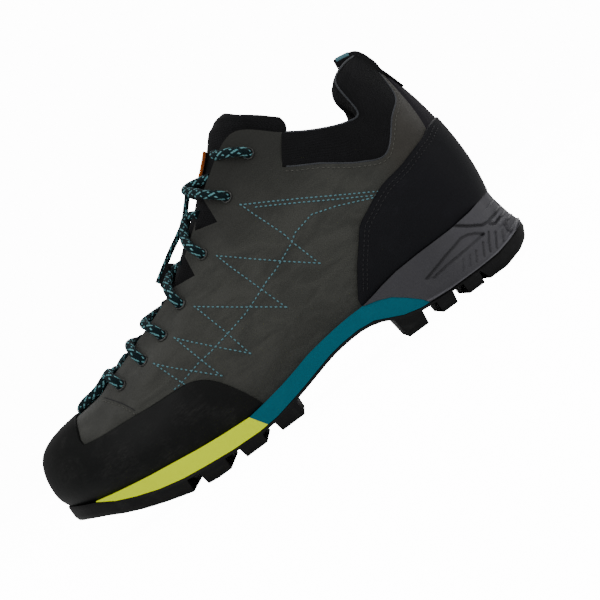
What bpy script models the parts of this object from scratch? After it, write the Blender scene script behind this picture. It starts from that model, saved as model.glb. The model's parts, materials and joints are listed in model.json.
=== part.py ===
"""Mid-cut approach shoe for the left foot, standing empty on its sole.

+Z is up, the toe points along -X and the outer side of the foot faces -Y.
The origin lies on the floor, in the middle of the heel's contact patch.
Lengths are metres. Tables hold shares of the named sizes, heel to toe or toe to heel.
"""
import bpy
import bmesh
import numpy as np

# Driving sizes of the shoe
SOLE_LENGTH = 0.302        # outsole, heel end to toe end
BALL_WIDTH = 0.105         # outsole at the ball of the foot
HEEL_CUP_HEIGHT = 0.040    # side of the sole at the back of the heel, above the floor
INSTEP_HEIGHT = 0.150      # top of the eyestay, above the floor
BACK_HEIGHT = 0.142        # top of the collar at the heel, above the floor
HEEL_TO_ORIGIN = 0.0445    # heel end to the middle of the heel's contact patch

# Walls, layers and clearances
GAP = 0.0003               # between neighbouring pieces
UPPER_WALL = 0.0020        # suede with its lining
RUBBER_LAYER = 0.0016      # toe rand and heel counter
COLLAR_PADDING = 0.0070    # collar, outside to inside, at the sides
COLLAR_HEEL_PADDING = 0.0120
COLLAR_PUFF = 0.0012       # how far the collar stands out of the suede
COLLAR_FLANGE = 0.0090     # lining that runs down inside the suede
TONGUE_PADDING = 0.0050
INSOLE_THICKNESS = 0.0030
FEATHER_INSET = 0.0060     # upper's lower edge inside the outsole's outline
HEEL_INSET = 0.0100        # the same at the back of the heel
HEEL_INSET_START = 0.86    # share of the feather line where it begins to grow
WEB_THICKNESS = 0.0016     # outsole rubber between the lugs
MIDSOLE_DRAFT = 0.0006     # midsole's top edge inside its foot
RECESS_DEPTH = 0.0016      # leaf-shaped recess in the heel's side
GROOVE_WIDTH = 0.0040      # long grooves that split the lugs
GROOVE_DEPTH = 0.0048
LACE_DIAMETER = 0.0048
LACE_CLEARANCE = 0.0006
EYELET_OUTER = 0.0084
EYELET_HOLE = 0.0054
EYELET_THICKNESS = 0.0011
LOOP_WIDTH = 0.0090        # webbing loop at the back of the collar
LOOP_THICKNESS = 0.0014
LABEL_LENGTH = 0.0240      # plain tab on the tongue
LABEL_WIDTH = 0.0120
LABEL_THICKNESS = 0.0010
KEEPER_LENGTH = 0.0195     # webbing bridge on the tongue that keeps the lace central
KEEPER_WIDTH = 0.0085
KEEPER_HEIGHT = 0.0126
KEEPER_THICKNESS = 0.0014
TRIM_SEAT = 0.0007         # label and bridge above the tongue's middle line

# How finely the solids are faceted
COLUMNS_PER_RIB = 2
WALL_ROWS = 6
TOP_ROWS = 3
SOLE_STATIONS = 40
STATION_SPACING = 0.008     # least share of the length between two stations
EYELET_TURNS = 8
TONGUE_ROWS = 13
TONGUE_COLUMNS = 6
LACE_SIDES_RESOLUTION = 1

# Outline of the outsole: share of its length from the heel, then the half widths on
# the outer and on the inner side of the foot as shares of the ball width.
OUTLINE = (
    (0.000, 0.000, 0.000),
    (0.012, 0.155, 0.150),
    (0.035, 0.245, 0.240),
    (0.070, 0.310, 0.305),
    (0.130, 0.350, 0.340),
    (0.220, 0.357, 0.343),
    (0.330, 0.352, 0.325),
    (0.420, 0.362, 0.312),
    (0.500, 0.400, 0.320),
    (0.580, 0.460, 0.362),
    (0.650, 0.508, 0.422),
    (0.710, 0.524, 0.468),
    (0.770, 0.508, 0.492),
    (0.830, 0.455, 0.488),
    (0.880, 0.375, 0.455),
    (0.930, 0.255, 0.390),
    (0.965, 0.148, 0.318),
    (0.990, 0.018, 0.218),
    (1.000, -0.080, 0.080),
)

# Side view of the sole: share of the length from the heel, then heights as shares of
# the heel cup: lug faces, top of the outsole, top edge of the sole's side, and deck.
SOLE_PROFILE = (
    (0.000, 0.300, 0.350, 0.990, 0.660),
    (0.017, 0.160, 0.320, 0.980, 0.660),
    (0.040, 0.070, 0.275, 0.955, 0.660),
    (0.080, 0.000, 0.215, 0.895, 0.655),
    (0.127, 0.000, 0.200, 0.860, 0.645),
    (0.200, 0.000, 0.200, 0.850, 0.625),
    (0.250, 0.000, 0.225, 0.830, 0.610),
    (0.283, 0.000, 0.285, 0.790, 0.595),
    (0.307, 0.000, 0.370, 0.750, 0.585),
    (0.333, 0.000, 0.460, 0.715, 0.575),
    (0.367, 0.000, 0.485, 0.710, 0.560),
    (0.400, 0.000, 0.470, 0.690, 0.540),
    (0.433, 0.000, 0.435, 0.660, 0.505),
    (0.467, 0.000, 0.370, 0.620, 0.460),
    (0.500, 0.000, 0.305, 0.555, 0.415),
    (0.533, 0.000, 0.250, 0.500, 0.375),
    (0.573, 0.000, 0.190, 0.450, 0.335),
    (0.613, 0.000, 0.170, 0.410, 0.320),
    (0.667, 0.000, 0.185, 0.435, 0.325),
    (0.717, 0.000, 0.220, 0.470, 0.350),
    (0.770, 0.045, 0.265, 0.520, 0.400),
    (0.817, 0.135, 0.335, 0.560, 0.460),
    (0.860, 0.230, 0.430, 0.605, 0.530),
    (0.900, 0.335, 0.540, 0.650, 0.600),
    (0.933, 0.440, 0.670, 0.690, 0.660),
    (0.967, 0.530, 0.760, 0.760, 0.730),
    (1.000, 0.600, 0.850, 0.850, 0.790),
)
LUG_COLUMN, BASE_COLUMN, SIDE_COLUMN, DECK_COLUMN = 1, 2, 3, 4

# Gaps between the rows of lugs, as shares of the length: where the gap starts on the
# toe side at the floor and at its top, and where it ends at its top and at the floor.
LUG_GAPS = (
    (0.770, 0.767, 0.743, 0.733),
    (0.692, 0.690, 0.660, 0.650),
    (0.615, 0.612, 0.583, 0.573),
    (0.533, 0.530, 0.303, 0.293),
    (0.260, 0.252, 0.223, 0.221),
    (0.198, 0.187, 0.165, 0.163),
    (0.135, 0.129, 0.126, 0.103),
)
# Long grooves: start and end as shares of the length, side offset of the ball width.
LONG_GROOVES = (
    (0.790, 0.540, -0.190),
    (0.790, 0.540, 0.170),
    (0.285, 0.095, -0.140),
    (0.285, 0.095, 0.135),
)

# Seams of the midsole in side view: shares of the length and of the heel cup.
WEDGE_TIP = 0.934
TIP_SEAM_FRONT = (0.617, 0.450)
TIP_SEAM_BACK = (0.587, 0.100)
ARCH_SEAM = (
    (0.345, 0.900),
    (0.334, 0.712),
    (0.307, 0.660),
    (0.283, 0.585),
    (0.260, 0.450),
    (0.240, 0.310),
    (0.228, 0.180),
)

# Side of the heel piece at the back: share of its height and how far it stands out.
HEEL_STEPS = (
    (0.00, 0.0000),
    (0.10, 0.0002),
    (0.28, -0.0010),
    (0.30, -0.0028),
    (0.44, -0.0030),
    (0.47, -0.0042),
    (0.62, -0.0044),
    (0.65, -0.0056),
    (0.82, -0.0050),
    (1.00, -0.0052),
)
STEPS_FADE = (0.030, 0.110)   # shares of the length between which the steps fade out
# Leaf-shaped recess in the heel's side: shares of the length and of the heel cup.
RECESS = (
    (0.205, 0.500),
    (0.165, 0.590),
    (0.125, 0.690),
    (0.108, 0.680),
    (0.085, 0.580),
    (0.125, 0.555),
    (0.175, 0.510),
)

# Ribs of the last, from the middle of the toe to the middle of the heel. Columns:
# share of the way along the feather line; side line, out and share of the rise;
# shoulder line, share of the way in length to the top line, in, and share of the rise;
# top line, share of the length, half width, and share of the instep or back height;
# share of the rise at which the collar's seam or the top rows begin; and how much
# fuller the inner side of the foot is, over the arch.
RIBS = (
    (0.000, 0.052, 0.270, 0.00, 0.029, 0.775, 0.810, 0.000, 0.478, 0.85, 0.000),
    (0.055, 0.054, 0.270, 0.00, 0.038, 0.770, 0.808, 0.062, 0.483, 0.85, 0.000),
    (0.117, 0.052, 0.300, 0.00, 0.055, 0.765, 0.802, 0.115, 0.494, 0.84, 0.000),
    (0.192, 0.042, 0.300, 0.10, 0.075, 0.725, 0.787, 0.152, 0.516, 0.82, 0.000),
    (0.265, 0.033, 0.290, 0.40, 0.083, 0.710, 0.750, 0.172, 0.536, 0.82, 0.006),
    (0.332, 0.029, 0.295, 0.50, 0.072, 0.700, 0.693, 0.184, 0.578, 0.82, 0.016),
    (0.401, 0.030, 0.300, 0.50, 0.052, 0.690, 0.627, 0.190, 0.625, 0.82, 0.030),
    (0.470, 0.038, 0.290, 0.50, 0.018, 0.677, 0.557, 0.192, 0.702, 0.82, 0.044),
    (0.537, 0.046, 0.270, 0.50, -0.010, 0.660, 0.490, 0.190, 0.800, 0.82, 0.044),
    (0.588, 0.050, 0.260, 0.50, -0.024, 0.640, 0.423, 0.190, 0.905, 0.83, 0.036),
    (0.625, 0.050, 0.260, 0.55, -0.026, 0.650, 0.340, 0.206, 0.985, 0.85, 0.024),
    (0.655, 0.048, 0.290, 0.22, -0.033, 0.690, 0.267, 0.252, 0.867, 0.864, 0.012),
    (0.710, 0.048, 0.290, 0.45, -0.033, 0.670, 0.220, 0.286, 0.842, 0.827, 0.004),
    (0.777, 0.048, 0.295, 0.50, -0.029, 0.670, 0.167, 0.295, 0.812, 0.748, 0.000),
    (0.841, 0.046, 0.267, 0.50, -0.029, 0.633, 0.134, 0.267, 0.815, 0.690, 0.000),
    (0.909, 0.042, 0.260, 0.20, -0.020, 0.590, 0.136, 0.214, 0.958, 0.690, 0.000),
    (0.954, 0.048, 0.285, 0.12, 0.002, 0.590, 0.106, 0.133, 1.005, 0.735, 0.000),
    (1.000, 0.058, 0.310, 0.05, 0.020, 0.598, 0.073, 0.000, 1.012, 0.885, 0.000),
)
CORNER_RIB = 11            # the eyestay's rear edge, where the collar begins
HEEL_RIB = len(RIBS) - 1
RIB_COUNT = 2 * HEEL_RIB   # ribs all the way round

# Upper edges of the two rubber overlays in side view: shares of the length and of the
# instep height (rand) or back height (counter).
RAND_EDGE = (
    (0.580, 0.115),
    (0.590, 0.167),
    (0.607, 0.233),
    (0.623, 0.280),
    (0.643, 0.316),
    (0.667, 0.336),
    (0.700, 0.343),
    (0.750, 0.349),
    (0.800, 0.356),
    (0.850, 0.363),
    (0.893, 0.377),
    (0.860, 0.600),
)
COUNTER_EDGE = (
    (0.343, 0.200),
    (0.323, 0.268),
    (0.300, 0.338),
    (0.273, 0.408),
    (0.253, 0.458),
    (0.227, 0.486),
    (0.200, 0.514),
    (0.173, 0.535),
    (0.133, 0.549),
    (0.100, 0.570),
    (0.067, 0.592),
    (0.045, 0.616),
    (-0.030, 0.650),
)
# V-shaped notches in the eyestay's edge: length share and height share of the tip,
# then of the two ends of the mouth.
EYESTAY_NOTCHES = (
    (0.457, 0.750, 0.500, 0.775, 0.452, 0.890),
    (0.547, 0.640, 0.605, 0.655, 0.540, 0.760),
)

# Eyelets from the toe up: place along the ribs, distance below the eyestay's edge, and
# the places where the lace goes over that edge and where the crossing below dives.
EYELETS = (
    (3.68, 0.0140, 3.25, 3.60),
    (4.72, 0.0165, 4.62, 4.30),
    (5.58, 0.0161, 5.32, 4.95),
    (6.43, 0.0137, 6.42, 6.05),
    (7.62, 0.0131, 7.50, 7.10),
    (9.08, 0.0177, 8.58, 8.20),
    (10.12, 0.0153, 9.42, 9.05),
)

# Middle of the bar in front of the throat, then of each crossing up to the top eyelets:
# shares of the length and of the instep height.
LACE_MIDDLES = (
    (0.868, 0.491),
    (0.747, 0.548),
    (0.697, 0.564),
    (0.632, 0.603),
    (0.579, 0.690),
    (0.499, 0.820),
    (0.473, 0.913),
)
# Straight run up the middle, from the bridge to the topmost crossing.
LACE_RUN = (
    (0.552, 0.779),
    (0.520, 0.8245),
    (0.492, 0.870),
)
RUN_DIAMETER = 0.0032

# Middle line of the tongue's outside: shares of length and instep height, then the
# half width and how far the wings bend back, as shares of the ball width.
TONGUE = (
    (0.832, 0.420, 0.130, 0.020),
    (0.800, 0.436, 0.165, 0.060),
    (0.740, 0.488, 0.205, 0.095),
    (0.680, 0.538, 0.225, 0.115),
    (0.620, 0.592, 0.232, 0.135),
    (0.560, 0.655, 0.232, 0.155),
    (0.505, 0.738, 0.230, 0.180),
    (0.460, 0.823, 0.222, 0.255),
    (0.425, 0.912, 0.210, 0.400),
    (0.400, 0.985, 0.200, 0.410),
    (0.372, 1.052, 0.188, 0.275),
    (0.335, 1.075, 0.176, 0.160),
)
TONGUE_LEVEL = (0.45, 0.85)   # shares of its length between which the bend turns level
TONGUE_ROUNDING = 0.09        # how much shorter its top corners are than its middle


def at(along):
    """X of a share of the sole's length, counted from the heel's end."""
    return HEEL_TO_ORIGIN - np.asarray(along) * SOLE_LENGTH


def sole_height(x, column):
    """Height of one line of the sole's side view at x."""
    rows = np.array(SOLE_PROFILE)
    along = (HEEL_TO_ORIGIN - np.asarray(x)) / SOLE_LENGTH
    return np.interp(along, rows[:, 0], rows[:, column]) * HEEL_CUP_HEIGHT


def hermite(points, knots, where):
    """Smooth curve through points (..., n, 3) with knots (..., n), read at where (...)."""
    steps = np.diff(knots, axis=-1)
    slopes = np.diff(points, axis=-2) / steps[..., None]
    tangents = np.empty_like(points)
    before = steps[..., :-1, None]
    after = steps[..., 1:, None]
    inner = (slopes[..., :-1, :] * after + slopes[..., 1:, :] * before) / (before + after)
    tangents[..., 1:-1, :] = inner
    tangents[..., 0, :] = 1.5 * slopes[..., 0, :] - 0.5 * tangents[..., 1, :]
    tangents[..., -1, :] = 1.5 * slopes[..., -1, :] - 0.5 * tangents[..., -2, :]
    last = steps.shape[-1] - 1
    index = np.clip((knots <= where[..., None]).sum(axis=-1) - 1, 0, last)

    def pick(values, offset=0):
        chosen = np.take_along_axis(values, (index + offset)[..., None, None], axis=-2)
        return chosen[..., 0, :]

    start = np.take_along_axis(knots, index[..., None], axis=-1)
    width = np.take_along_axis(steps, index[..., None], axis=-1)
    t = (where[..., None] - start) / width
    a, b = pick(points), pick(points, 1)
    ta, tb = pick(tangents) * width, pick(tangents, 1) * width
    return ((2 * t**3 - 3 * t**2 + 1) * a + (t**3 - 2 * t**2 + t) * ta
            + (3 * t**2 - 2 * t**3) * b + (t**3 - t**2) * tb)


def chord_knots(points, power=0.5):
    """Knots spaced by the distance between the points."""
    gaps = np.linalg.norm(np.diff(points, axis=-2), axis=-1)**power
    zero = np.zeros(gaps.shape[:-1] + (1,))
    return np.concatenate([zero, np.cumsum(gaps, axis=-1)], axis=-1)


def smooth_path(points, count):
    """Evenly spread points on a smooth curve through the given ones."""
    points = np.asarray(points, dtype=float)
    knots = chord_knots(points)
    where = np.linspace(knots[0], knots[-1], count)
    many = np.broadcast_to(points, (count,) + points.shape)
    return hermite(many, np.broadcast_to(knots, (count, len(knots))), where)


def outsole_edge(side, count=400):
    """Half outline from the toe's tip to the heel's end; side is -1 outer, 1 inner."""
    rows = np.array(OUTLINE)[::-1]
    column = 1 if side < 0 else 2
    points = np.zeros((len(rows), 3))
    points[:, 0] = at(rows[:, 0])
    points[:, 1] = side * rows[:, column] * BALL_WIDTH
    # the other side's first row lets the curve run straight across at both tips
    other = rows[[1, -2], 3 - column] * -side * BALL_WIDTH
    ahead = np.array([[points[1, 0], other[0], 0.0]])
    behind = np.array([[points[-2, 0], other[1], 0.0]])
    whole = np.concatenate([ahead, points, behind])
    knots = chord_knots(whole)
    where = np.linspace(knots[1], knots[-2], count)
    many = np.broadcast_to(whole, (count,) + whole.shape)
    return hermite(many, np.broadcast_to(knots, (count, len(knots))), where)


def edge_normals(curve, side):
    """Outward direction in plan along a half outline."""
    run = np.gradient(curve, axis=0)
    normal = np.stack([run[:, 1], -run[:, 0], np.zeros(len(run))], axis=1) * -side
    return normal / np.linalg.norm(normal, axis=1)[:, None]


def feather_line(side, shares):
    """Points and outward normals on the upper's lower edge."""
    curve = outsole_edge(side)
    normals = edge_normals(curve, side)
    near = np.clip((np.linspace(0.0, 1.0, len(curve)) - HEEL_INSET_START) / (1 - HEEL_INSET_START), 0, 1)
    inset = FEATHER_INSET + (HEEL_INSET - FEATHER_INSET) * near**2 * (3 - 2 * near)
    curve = curve - normals * inset[:, None]
    length = np.concatenate([[0.0], np.cumsum(np.linalg.norm(np.diff(curve, axis=0), axis=1))])
    where = np.asarray(shares) * length[-1]
    point = np.stack([np.interp(where, length, curve[:, i]) for i in range(3)], axis=1)
    normal = np.stack([np.interp(where, length, normals[:, i]) for i in range(3)], axis=1)
    point[:, 2] = sole_height(point[:, 0], DECK_COLUMN)
    return point, normal / np.linalg.norm(normal, axis=1)[:, None]


def last_ribs():
    """Feather, side, shoulder and top point of every rib, round the shoe, and seam shares."""
    rows = np.array(RIBS)
    rings = []
    for side in (-1, 1):
        feather, out = feather_line(side, rows[:, 0])
        top = np.zeros_like(feather)
        top[:, 0] = at(rows[:, 6])
        top[:, 1] = side * rows[:, 7] * BALL_WIDTH
        height = np.where(np.arange(len(rows)) > CORNER_RIB, BACK_HEIGHT, INSTEP_HEIGHT)
        top[:, 2] = rows[:, 8] * height
        rise = top[:, 2] - feather[:, 2]
        lean = top[:, 0] - feather[:, 0]
        fuller = rows[:, 10] * (side > 0)
        wall = feather + out * ((rows[:, 1] + 0.6 * fuller) * BALL_WIDTH)[:, None]
        wall[:, 0] += 0.35 * rows[:, 3] * lean
        wall[:, 2] += rows[:, 2] * rise
        shoulder = feather - out * ((rows[:, 4] - 1.4 * fuller) * BALL_WIDTH)[:, None]
        shoulder[:, 0] += rows[:, 3] * lean
        shoulder[:, 2] += rows[:, 5] * rise
        rings.append(np.stack([feather, wall, shoulder, top], axis=1))
    outer, inner = rings
    # both halves share the middle ribs at the toe and at the heel
    outer[0] = (outer[0] + inner[0]) / 2
    outer[-1] = (outer[-1] + inner[-1]) / 2
    ring = np.concatenate([outer, inner[-2:0:-1]])
    seams = np.concatenate([rows[:, 9], rows[-2:0:-1, 9]])
    return ring, seams


RING, SEAMS = last_ribs()


def around(values, u):
    """Smooth closed curve through one value per rib, read at rib places u."""
    u = np.asarray(u, dtype=float)
    base = np.floor(u).astype(int)
    t = (u - base).reshape(u.shape + (1,) * (values.ndim - 1))
    a, b, c, d = (values[(base + k) % RIB_COUNT] for k in (-1, 0, 1, 2))
    return b + 0.5 * t * (c - a + t * (2 * a - 5 * b + 4 * c - d + t * (3 * (b - c) + d - a)))


def last_point(u, v):
    """Point on the last's surface: u round the ribs, v from feather line to top line."""
    u, v = np.broadcast_arrays(np.asarray(u, dtype=float), np.asarray(v, dtype=float))
    ribs = around(RING, u)
    knots = chord_knots(ribs)
    return hermite(ribs, knots, v * knots[..., -1])


def last_normal(u, v):
    """Outward normal of the last's surface."""
    step = 0.004
    low, high = np.clip(v - step, 0.0, 1.0), np.clip(v + step, 0.0, 1.0)
    along = last_point(u + step, v) - last_point(u - step, v)
    rising = last_point(u, high) - last_point(u, low)
    normal = np.cross(along, rising)
    return normal / np.linalg.norm(normal, axis=-1)[..., None]


def shell_point(u, v, out):
    """Point at a distance from the last's surface."""
    out = np.asarray(out, dtype=float)
    return last_point(u, v) + last_normal(u, v) * out[..., None]


def share_at_height(u, rise_share):
    """Share v at which each rib reaches a share of its own rise."""
    levels = np.linspace(0.0, 1.0, 81)
    found = np.empty(len(u))
    for i, place in enumerate(u):
        z = last_point(np.full(81, place), levels)[:, 2]
        z = np.maximum.accumulate(z)
        found[i] = np.interp(z[0] + rise_share[i] * (z[-1] - z[0]), z, levels)
    return found


def seam_share(u):
    """Share v of the collar's seam at rib places u."""
    return share_at_height(u, np.clip(around(SEAMS, u), 0.3, 0.96))


def share_below_edge(u, distance):
    """Share v at a distance measured down the surface from the top line."""
    levels = np.linspace(0.0, 1.0, 201)
    line = last_point(np.full(201, u), levels)[::-1]
    length = np.concatenate([[0.0], np.cumsum(np.linalg.norm(np.diff(line, axis=0), axis=1))])
    return 1.0 - np.interp(distance, length, levels)


def rib_columns():
    """Places of the facet columns all the way round."""
    return np.arange(RIB_COUNT * COLUMNS_PER_RIB) / COLUMNS_PER_RIB


def surface_grid():
    """Shares u and v of every facet corner, and the row where the top rows begin."""
    u = rib_columns()
    seam = seam_share(u)
    low = seam[:, None] * np.linspace(0.0, 1.0, WALL_ROWS + 1)[None, :]
    high = seam[:, None] + (1.0 - seam)[:, None] * np.linspace(0.0, 1.0, TOP_ROWS + 1)[None, 1:]
    v = np.concatenate([low, high], axis=1)
    return np.broadcast_to(u[:, None], v.shape), v


def new_object(name, vertices, faces, collection):
    """Mesh object from corners and faces, its faces turned outwards."""
    mesh = bpy.data.meshes.new(name)
    mesh.from_pydata([tuple(map(float, p)) for p in vertices], [], faces)
    mesh.validate()
    obj = bpy.data.objects.new(name, mesh)
    collection.objects.link(obj)
    return obj


def face_outwards(obj):
    """Faces of a closed mesh turned outwards."""
    shape = bmesh.new()
    shape.from_mesh(obj.data)
    bmesh.ops.recalc_face_normals(shape, faces=shape.faces)
    shape.to_mesh(obj.data)
    shape.free()


def smooth(obj, degrees=40.0):
    """Round surfaces shaded smooth, edges kept."""
    obj.data.shade_smooth()
    obj.data.set_sharp_from_angle(angle=np.radians(degrees))


def part_material(obj, name, colour, roughness, metallic=0.0):
    """Plain finish in the piece's own colour."""
    material = bpy.data.materials.get(name) or bpy.data.materials.new(name)
    material.use_nodes = True
    shader = material.node_tree.nodes["Principled BSDF"]
    shader.inputs["Base Color"].default_value = (*colour, 1.0)
    shader.inputs["Roughness"].default_value = roughness
    shader.inputs["Metallic"].default_value = metallic
    material.diffuse_color = (*colour, 1.0)
    obj.data.materials.append(material)


def boolean(obj, cutter, operation):
    """Boolean modifier with the exact solver."""
    modifier = obj.modifiers.new(f"{operation} {cutter.name}"[:60], "BOOLEAN")
    modifier.operation = operation
    modifier.solver = "EXACT"
    modifier.object = cutter
    return modifier


def as_cutter(obj):
    """Hidden from renders and drawn as wires."""
    obj.hide_render = True
    obj.display_type = "WIRE"
    return obj


def side_prism(name, outline, collection, low=None, high=None):
    """Side-view outline (x, z) carried straight across the shoe, from low to high in y."""
    low = -BALL_WIDTH if low is None else low
    high = BALL_WIDTH if high is None else high
    count = len(outline)
    corners = [(x, low, z) for x, z in outline] + [(x, high, z) for x, z in outline]
    faces = [tuple(range(count)), tuple(range(2 * count - 1, count - 1, -1))]
    faces += [(i, i + count, (i + 1) % count + count, (i + 1) % count) for i in range(count)]
    obj = new_object(name, corners, faces, collection)
    face_outwards(obj)
    return obj


def ladder(name, rings, collection):
    """Closed solid from rings of (outer points, inner points), lowest ring first.

    Each ring runs heel to toe on both sides; the lowest and highest are bridged across.
    """
    count = len(rings[0][0])
    vertices = []
    for outer, inner in rings:
        vertices.extend(outer)
        vertices.extend(inner)
    stride = 2 * count
    faces = []
    top = (len(rings) - 1) * stride
    for k in range(count - 1):
        faces.append((k, k + 1, count + k + 1, count + k))
        faces.append((top + k, top + count + k, top + count + k + 1, top + k + 1))
        for r in range(len(rings) - 1):
            a, b = r * stride + k, (r + 1) * stride + k
            faces.append((a, b, b + 1, a + 1))
            faces.append((a + count, a + count + 1, b + count + 1, b + count))
    for k in (0, count - 1):
        column = [r * stride + k for r in range(len(rings))]
        faces.append(tuple(column + [i + count for i in reversed(column)]))
    obj = new_object(name, vertices, faces, collection)
    face_outwards(obj)
    return obj


def sole_shares():
    """Shares of the length where the sole has stations: its side view's corners and more."""
    corners = np.array(SOLE_PROFILE)[:, 0]
    tip = 0.0004
    corners = np.clip(corners, tip, 1.0 - tip)
    turn = np.linspace(0.0, np.pi, SOLE_STATIONS)
    extra = [s for s in (1 - np.cos(turn)) / 2 if abs(corners - s).min() > STATION_SPACING]
    return np.sort(np.concatenate([corners, extra]))


def sole_stations():
    """Points and outward normals on both sides of the outsole at shared stations."""
    share = sole_shares()
    sides = []
    for side in (-1, 1):
        curve = outsole_edge(side)[::-1]
        normals = edge_normals(outsole_edge(side), side)[::-1]
        along = (HEEL_TO_ORIGIN - curve[:, 0]) / SOLE_LENGTH
        along = np.maximum.accumulate(along)
        point = np.stack([np.interp(share, along, curve[:, i]) for i in range(3)], axis=1)
        point[:, 0] = at(share)
        normal = np.stack([np.interp(share, along, normals[:, i]) for i in range(3)], axis=1)
        sides.append((point, normal / np.linalg.norm(normal, axis=1)[:, None]))
    return sides


def sole_slab(name, collection, low, high, rows, fade=None):
    """Slab of the sole between two heights; rows give height share and how far out."""
    sides = sole_stations()
    rings = []
    for share, out in rows:
        ring = []
        for point, normal in sides:
            amount = np.full(len(point), out)
            if fade is not None:
                along = (HEEL_TO_ORIGIN - point[:, 0]) / SOLE_LENGTH
                weight = np.clip((fade[1] - along) / (fade[1] - fade[0]), 0.0, 1.0)
                amount = out * weight**2 * (3 - 2 * weight)
            moved = point + normal * amount[:, None]
            bottom, top = low(moved[:, 0]), high(moved[:, 0])
            moved[:, 2] = bottom + share * (top - bottom)
            ring.append(moved)
        rings.append(ring)
    return ladder(name, rings, collection)


def ring_solid(name, rings, collection):
    """Closed solid from rings that run once round the shoe from the middle of the toe."""
    count = len(rings[0])
    half = count // 2
    faces = []
    for level in range(len(rings) - 1):
        low, high = level * count, (level + 1) * count
        for k in range(count):
            following = (k + 1) % count
            faces.append((low + k, low + following, high + following, high + k))
    for base in (0, (len(rings) - 1) * count):
        faces.append((base, base + 1, base + count - 1))
        faces.append((base + half - 1, base + half, base + half + 1))
        faces += [(base + k, base + k + 1, base + count - k - 1, base + count - k)
                  for k in range(1, half - 1)]
    obj = new_object(name, np.concatenate(rings), faces, collection)
    face_outwards(obj)
    return obj


def last_body(name, collection, clearance):
    """The foot of the upper as a closed body, from below the deck to above the sole."""
    u = rib_columns()
    rings = []
    for level in np.linspace(0.0, 0.55, 7):
        points = shell_point(u, np.full(len(u), level), np.full(len(u), clearance))
        if not rings:
            rings.append(points - [0.0, 0.0, clearance])
        rings.append(points)
    return ring_solid(name, rings, collection)


def open_shell(name, collection, out, columns=None, rows=None):
    """Open surface at a distance from the last, over chosen columns and rows."""
    u, v = surface_grid()
    points = shell_point(u, v, np.full(u.shape, out))
    count, height = u.shape
    faces = []
    for i in range(count):
        for j in range(height - 1):
            if columns is not None and not columns(i, j):
                continue
            following = (i + 1) % count
            a, b = i * height + j, following * height + j
            faces += [(a, b, b + 1), (a, b + 1, a + 1)]
    obj = new_object(name, points.reshape(-1, 3), faces, collection)
    shape = bmesh.new()
    shape.from_mesh(obj.data)
    loose = [corner for corner in shape.verts if not corner.link_faces]
    bmesh.ops.delete(shape, geom=loose, context="VERTS")
    shape.to_mesh(obj.data)
    shape.free()
    return obj


def thicken(obj, thickness, outwards):
    """Solidify on one side of an open surface."""
    modifier = obj.modifiers.new("wall", "SOLIDIFY")
    modifier.thickness = thickness
    modifier.offset = 1.0 if outwards else -1.0
    return modifier


def tube(name, path, diameter, collection, resolution=LACE_SIDES_RESOLUTION):
    """Round cord along a path, made a mesh with welded caps."""
    curve = bpy.data.curves.new(name, "CURVE")
    curve.dimensions = "3D"
    curve.bevel_depth = diameter / 2
    curve.bevel_resolution = resolution
    curve.use_fill_caps = True
    spline = curve.splines.new("POLY")
    spline.points.add(len(path) - 1)
    for point, place in zip(spline.points, path):
        point.co = (*map(float, place), 1.0)
    guide = bpy.data.objects.new(name, curve)
    collection.objects.link(guide)
    depsgraph = bpy.context.evaluated_depsgraph_get()
    mesh = bpy.data.meshes.new_from_object(guide.evaluated_get(depsgraph))
    bpy.data.objects.remove(guide)
    bpy.data.curves.remove(curve)
    shape = bmesh.new()
    shape.from_mesh(mesh)
    bmesh.ops.remove_doubles(shape, verts=shape.verts, dist=0.00001)
    bmesh.ops.recalc_face_normals(shape, faces=shape.faces)
    shape.to_mesh(mesh)
    shape.free()
    obj = bpy.data.objects.new(name, mesh)
    collection.objects.link(obj)
    return obj


def side_outline(rows, height):
    """Side-view table of shares turned into x and z."""
    return [(float(at(along)), share * height) for along, share in rows]


def sole_side_line(first, last, lift):
    """Top edge of the sole's side between two shares, lifted by a clearance."""
    share = sole_shares()
    inner = share[(share > min(first, last)) & (share < max(first, last))]
    share = np.concatenate([[min(first, last)], inner, [max(first, last)]])
    x = at(share if first < last else share[::-1])
    return [(float(a), float(b)) for a, b in zip(x, sole_height(x, SIDE_COLUMN) + lift)]


def make_upper(parts, cutters):
    """Suede wall with its throat, collar opening and eyestay notches."""
    corner = CORNER_RIB * COLUMNS_PER_RIB
    total = RIB_COUNT * COLUMNS_PER_RIB

    def keep(i, j):
        return j < WALL_ROWS or i < corner or i >= total - corner

    upper = open_shell("upper", parts, 0.0, keep)
    thicken(upper, UPPER_WALL, outwards=False)
    for number, row in enumerate(EYESTAY_NOTCHES, 1):
        notch = [(float(at(row[k])), row[k + 1] * INSTEP_HEIGHT) for k in (0, 2, 4)]
        boolean(upper, as_cutter(side_prism(f"notch_{number}", notch, cutters)), "DIFFERENCE")
    smooth(upper)
    part_material(upper, "suede", (0.105, 0.102, 0.088), 0.92)
    return upper


def make_overlay(name, outline, parts, cutters):
    """Rubber layer on the upper, cut to a side-view outline."""
    layer = open_shell(name, parts, GAP)
    thicken(layer, RUBBER_LAYER, outwards=True)
    boolean(layer, as_cutter(side_prism(f"{name}_outline", outline, cutters)), "INTERSECT")
    smooth(layer)
    return layer


def make_rand(parts, cutters):
    edge = side_outline(RAND_EDGE, INSTEP_HEIGHT)
    foot = sole_side_line(RAND_EDGE[0][0], 1.0, GAP)
    ahead = float(at(1.0)) - FEATHER_INSET
    front = [(ahead, foot[-1][1]), (ahead, edge[-1][1])]
    rand = make_overlay("toe_rand", foot + front + edge[:0:-1], parts, cutters)
    part_material(rand, "rubber_rand", (0.030, 0.031, 0.030), 0.62)


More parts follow.
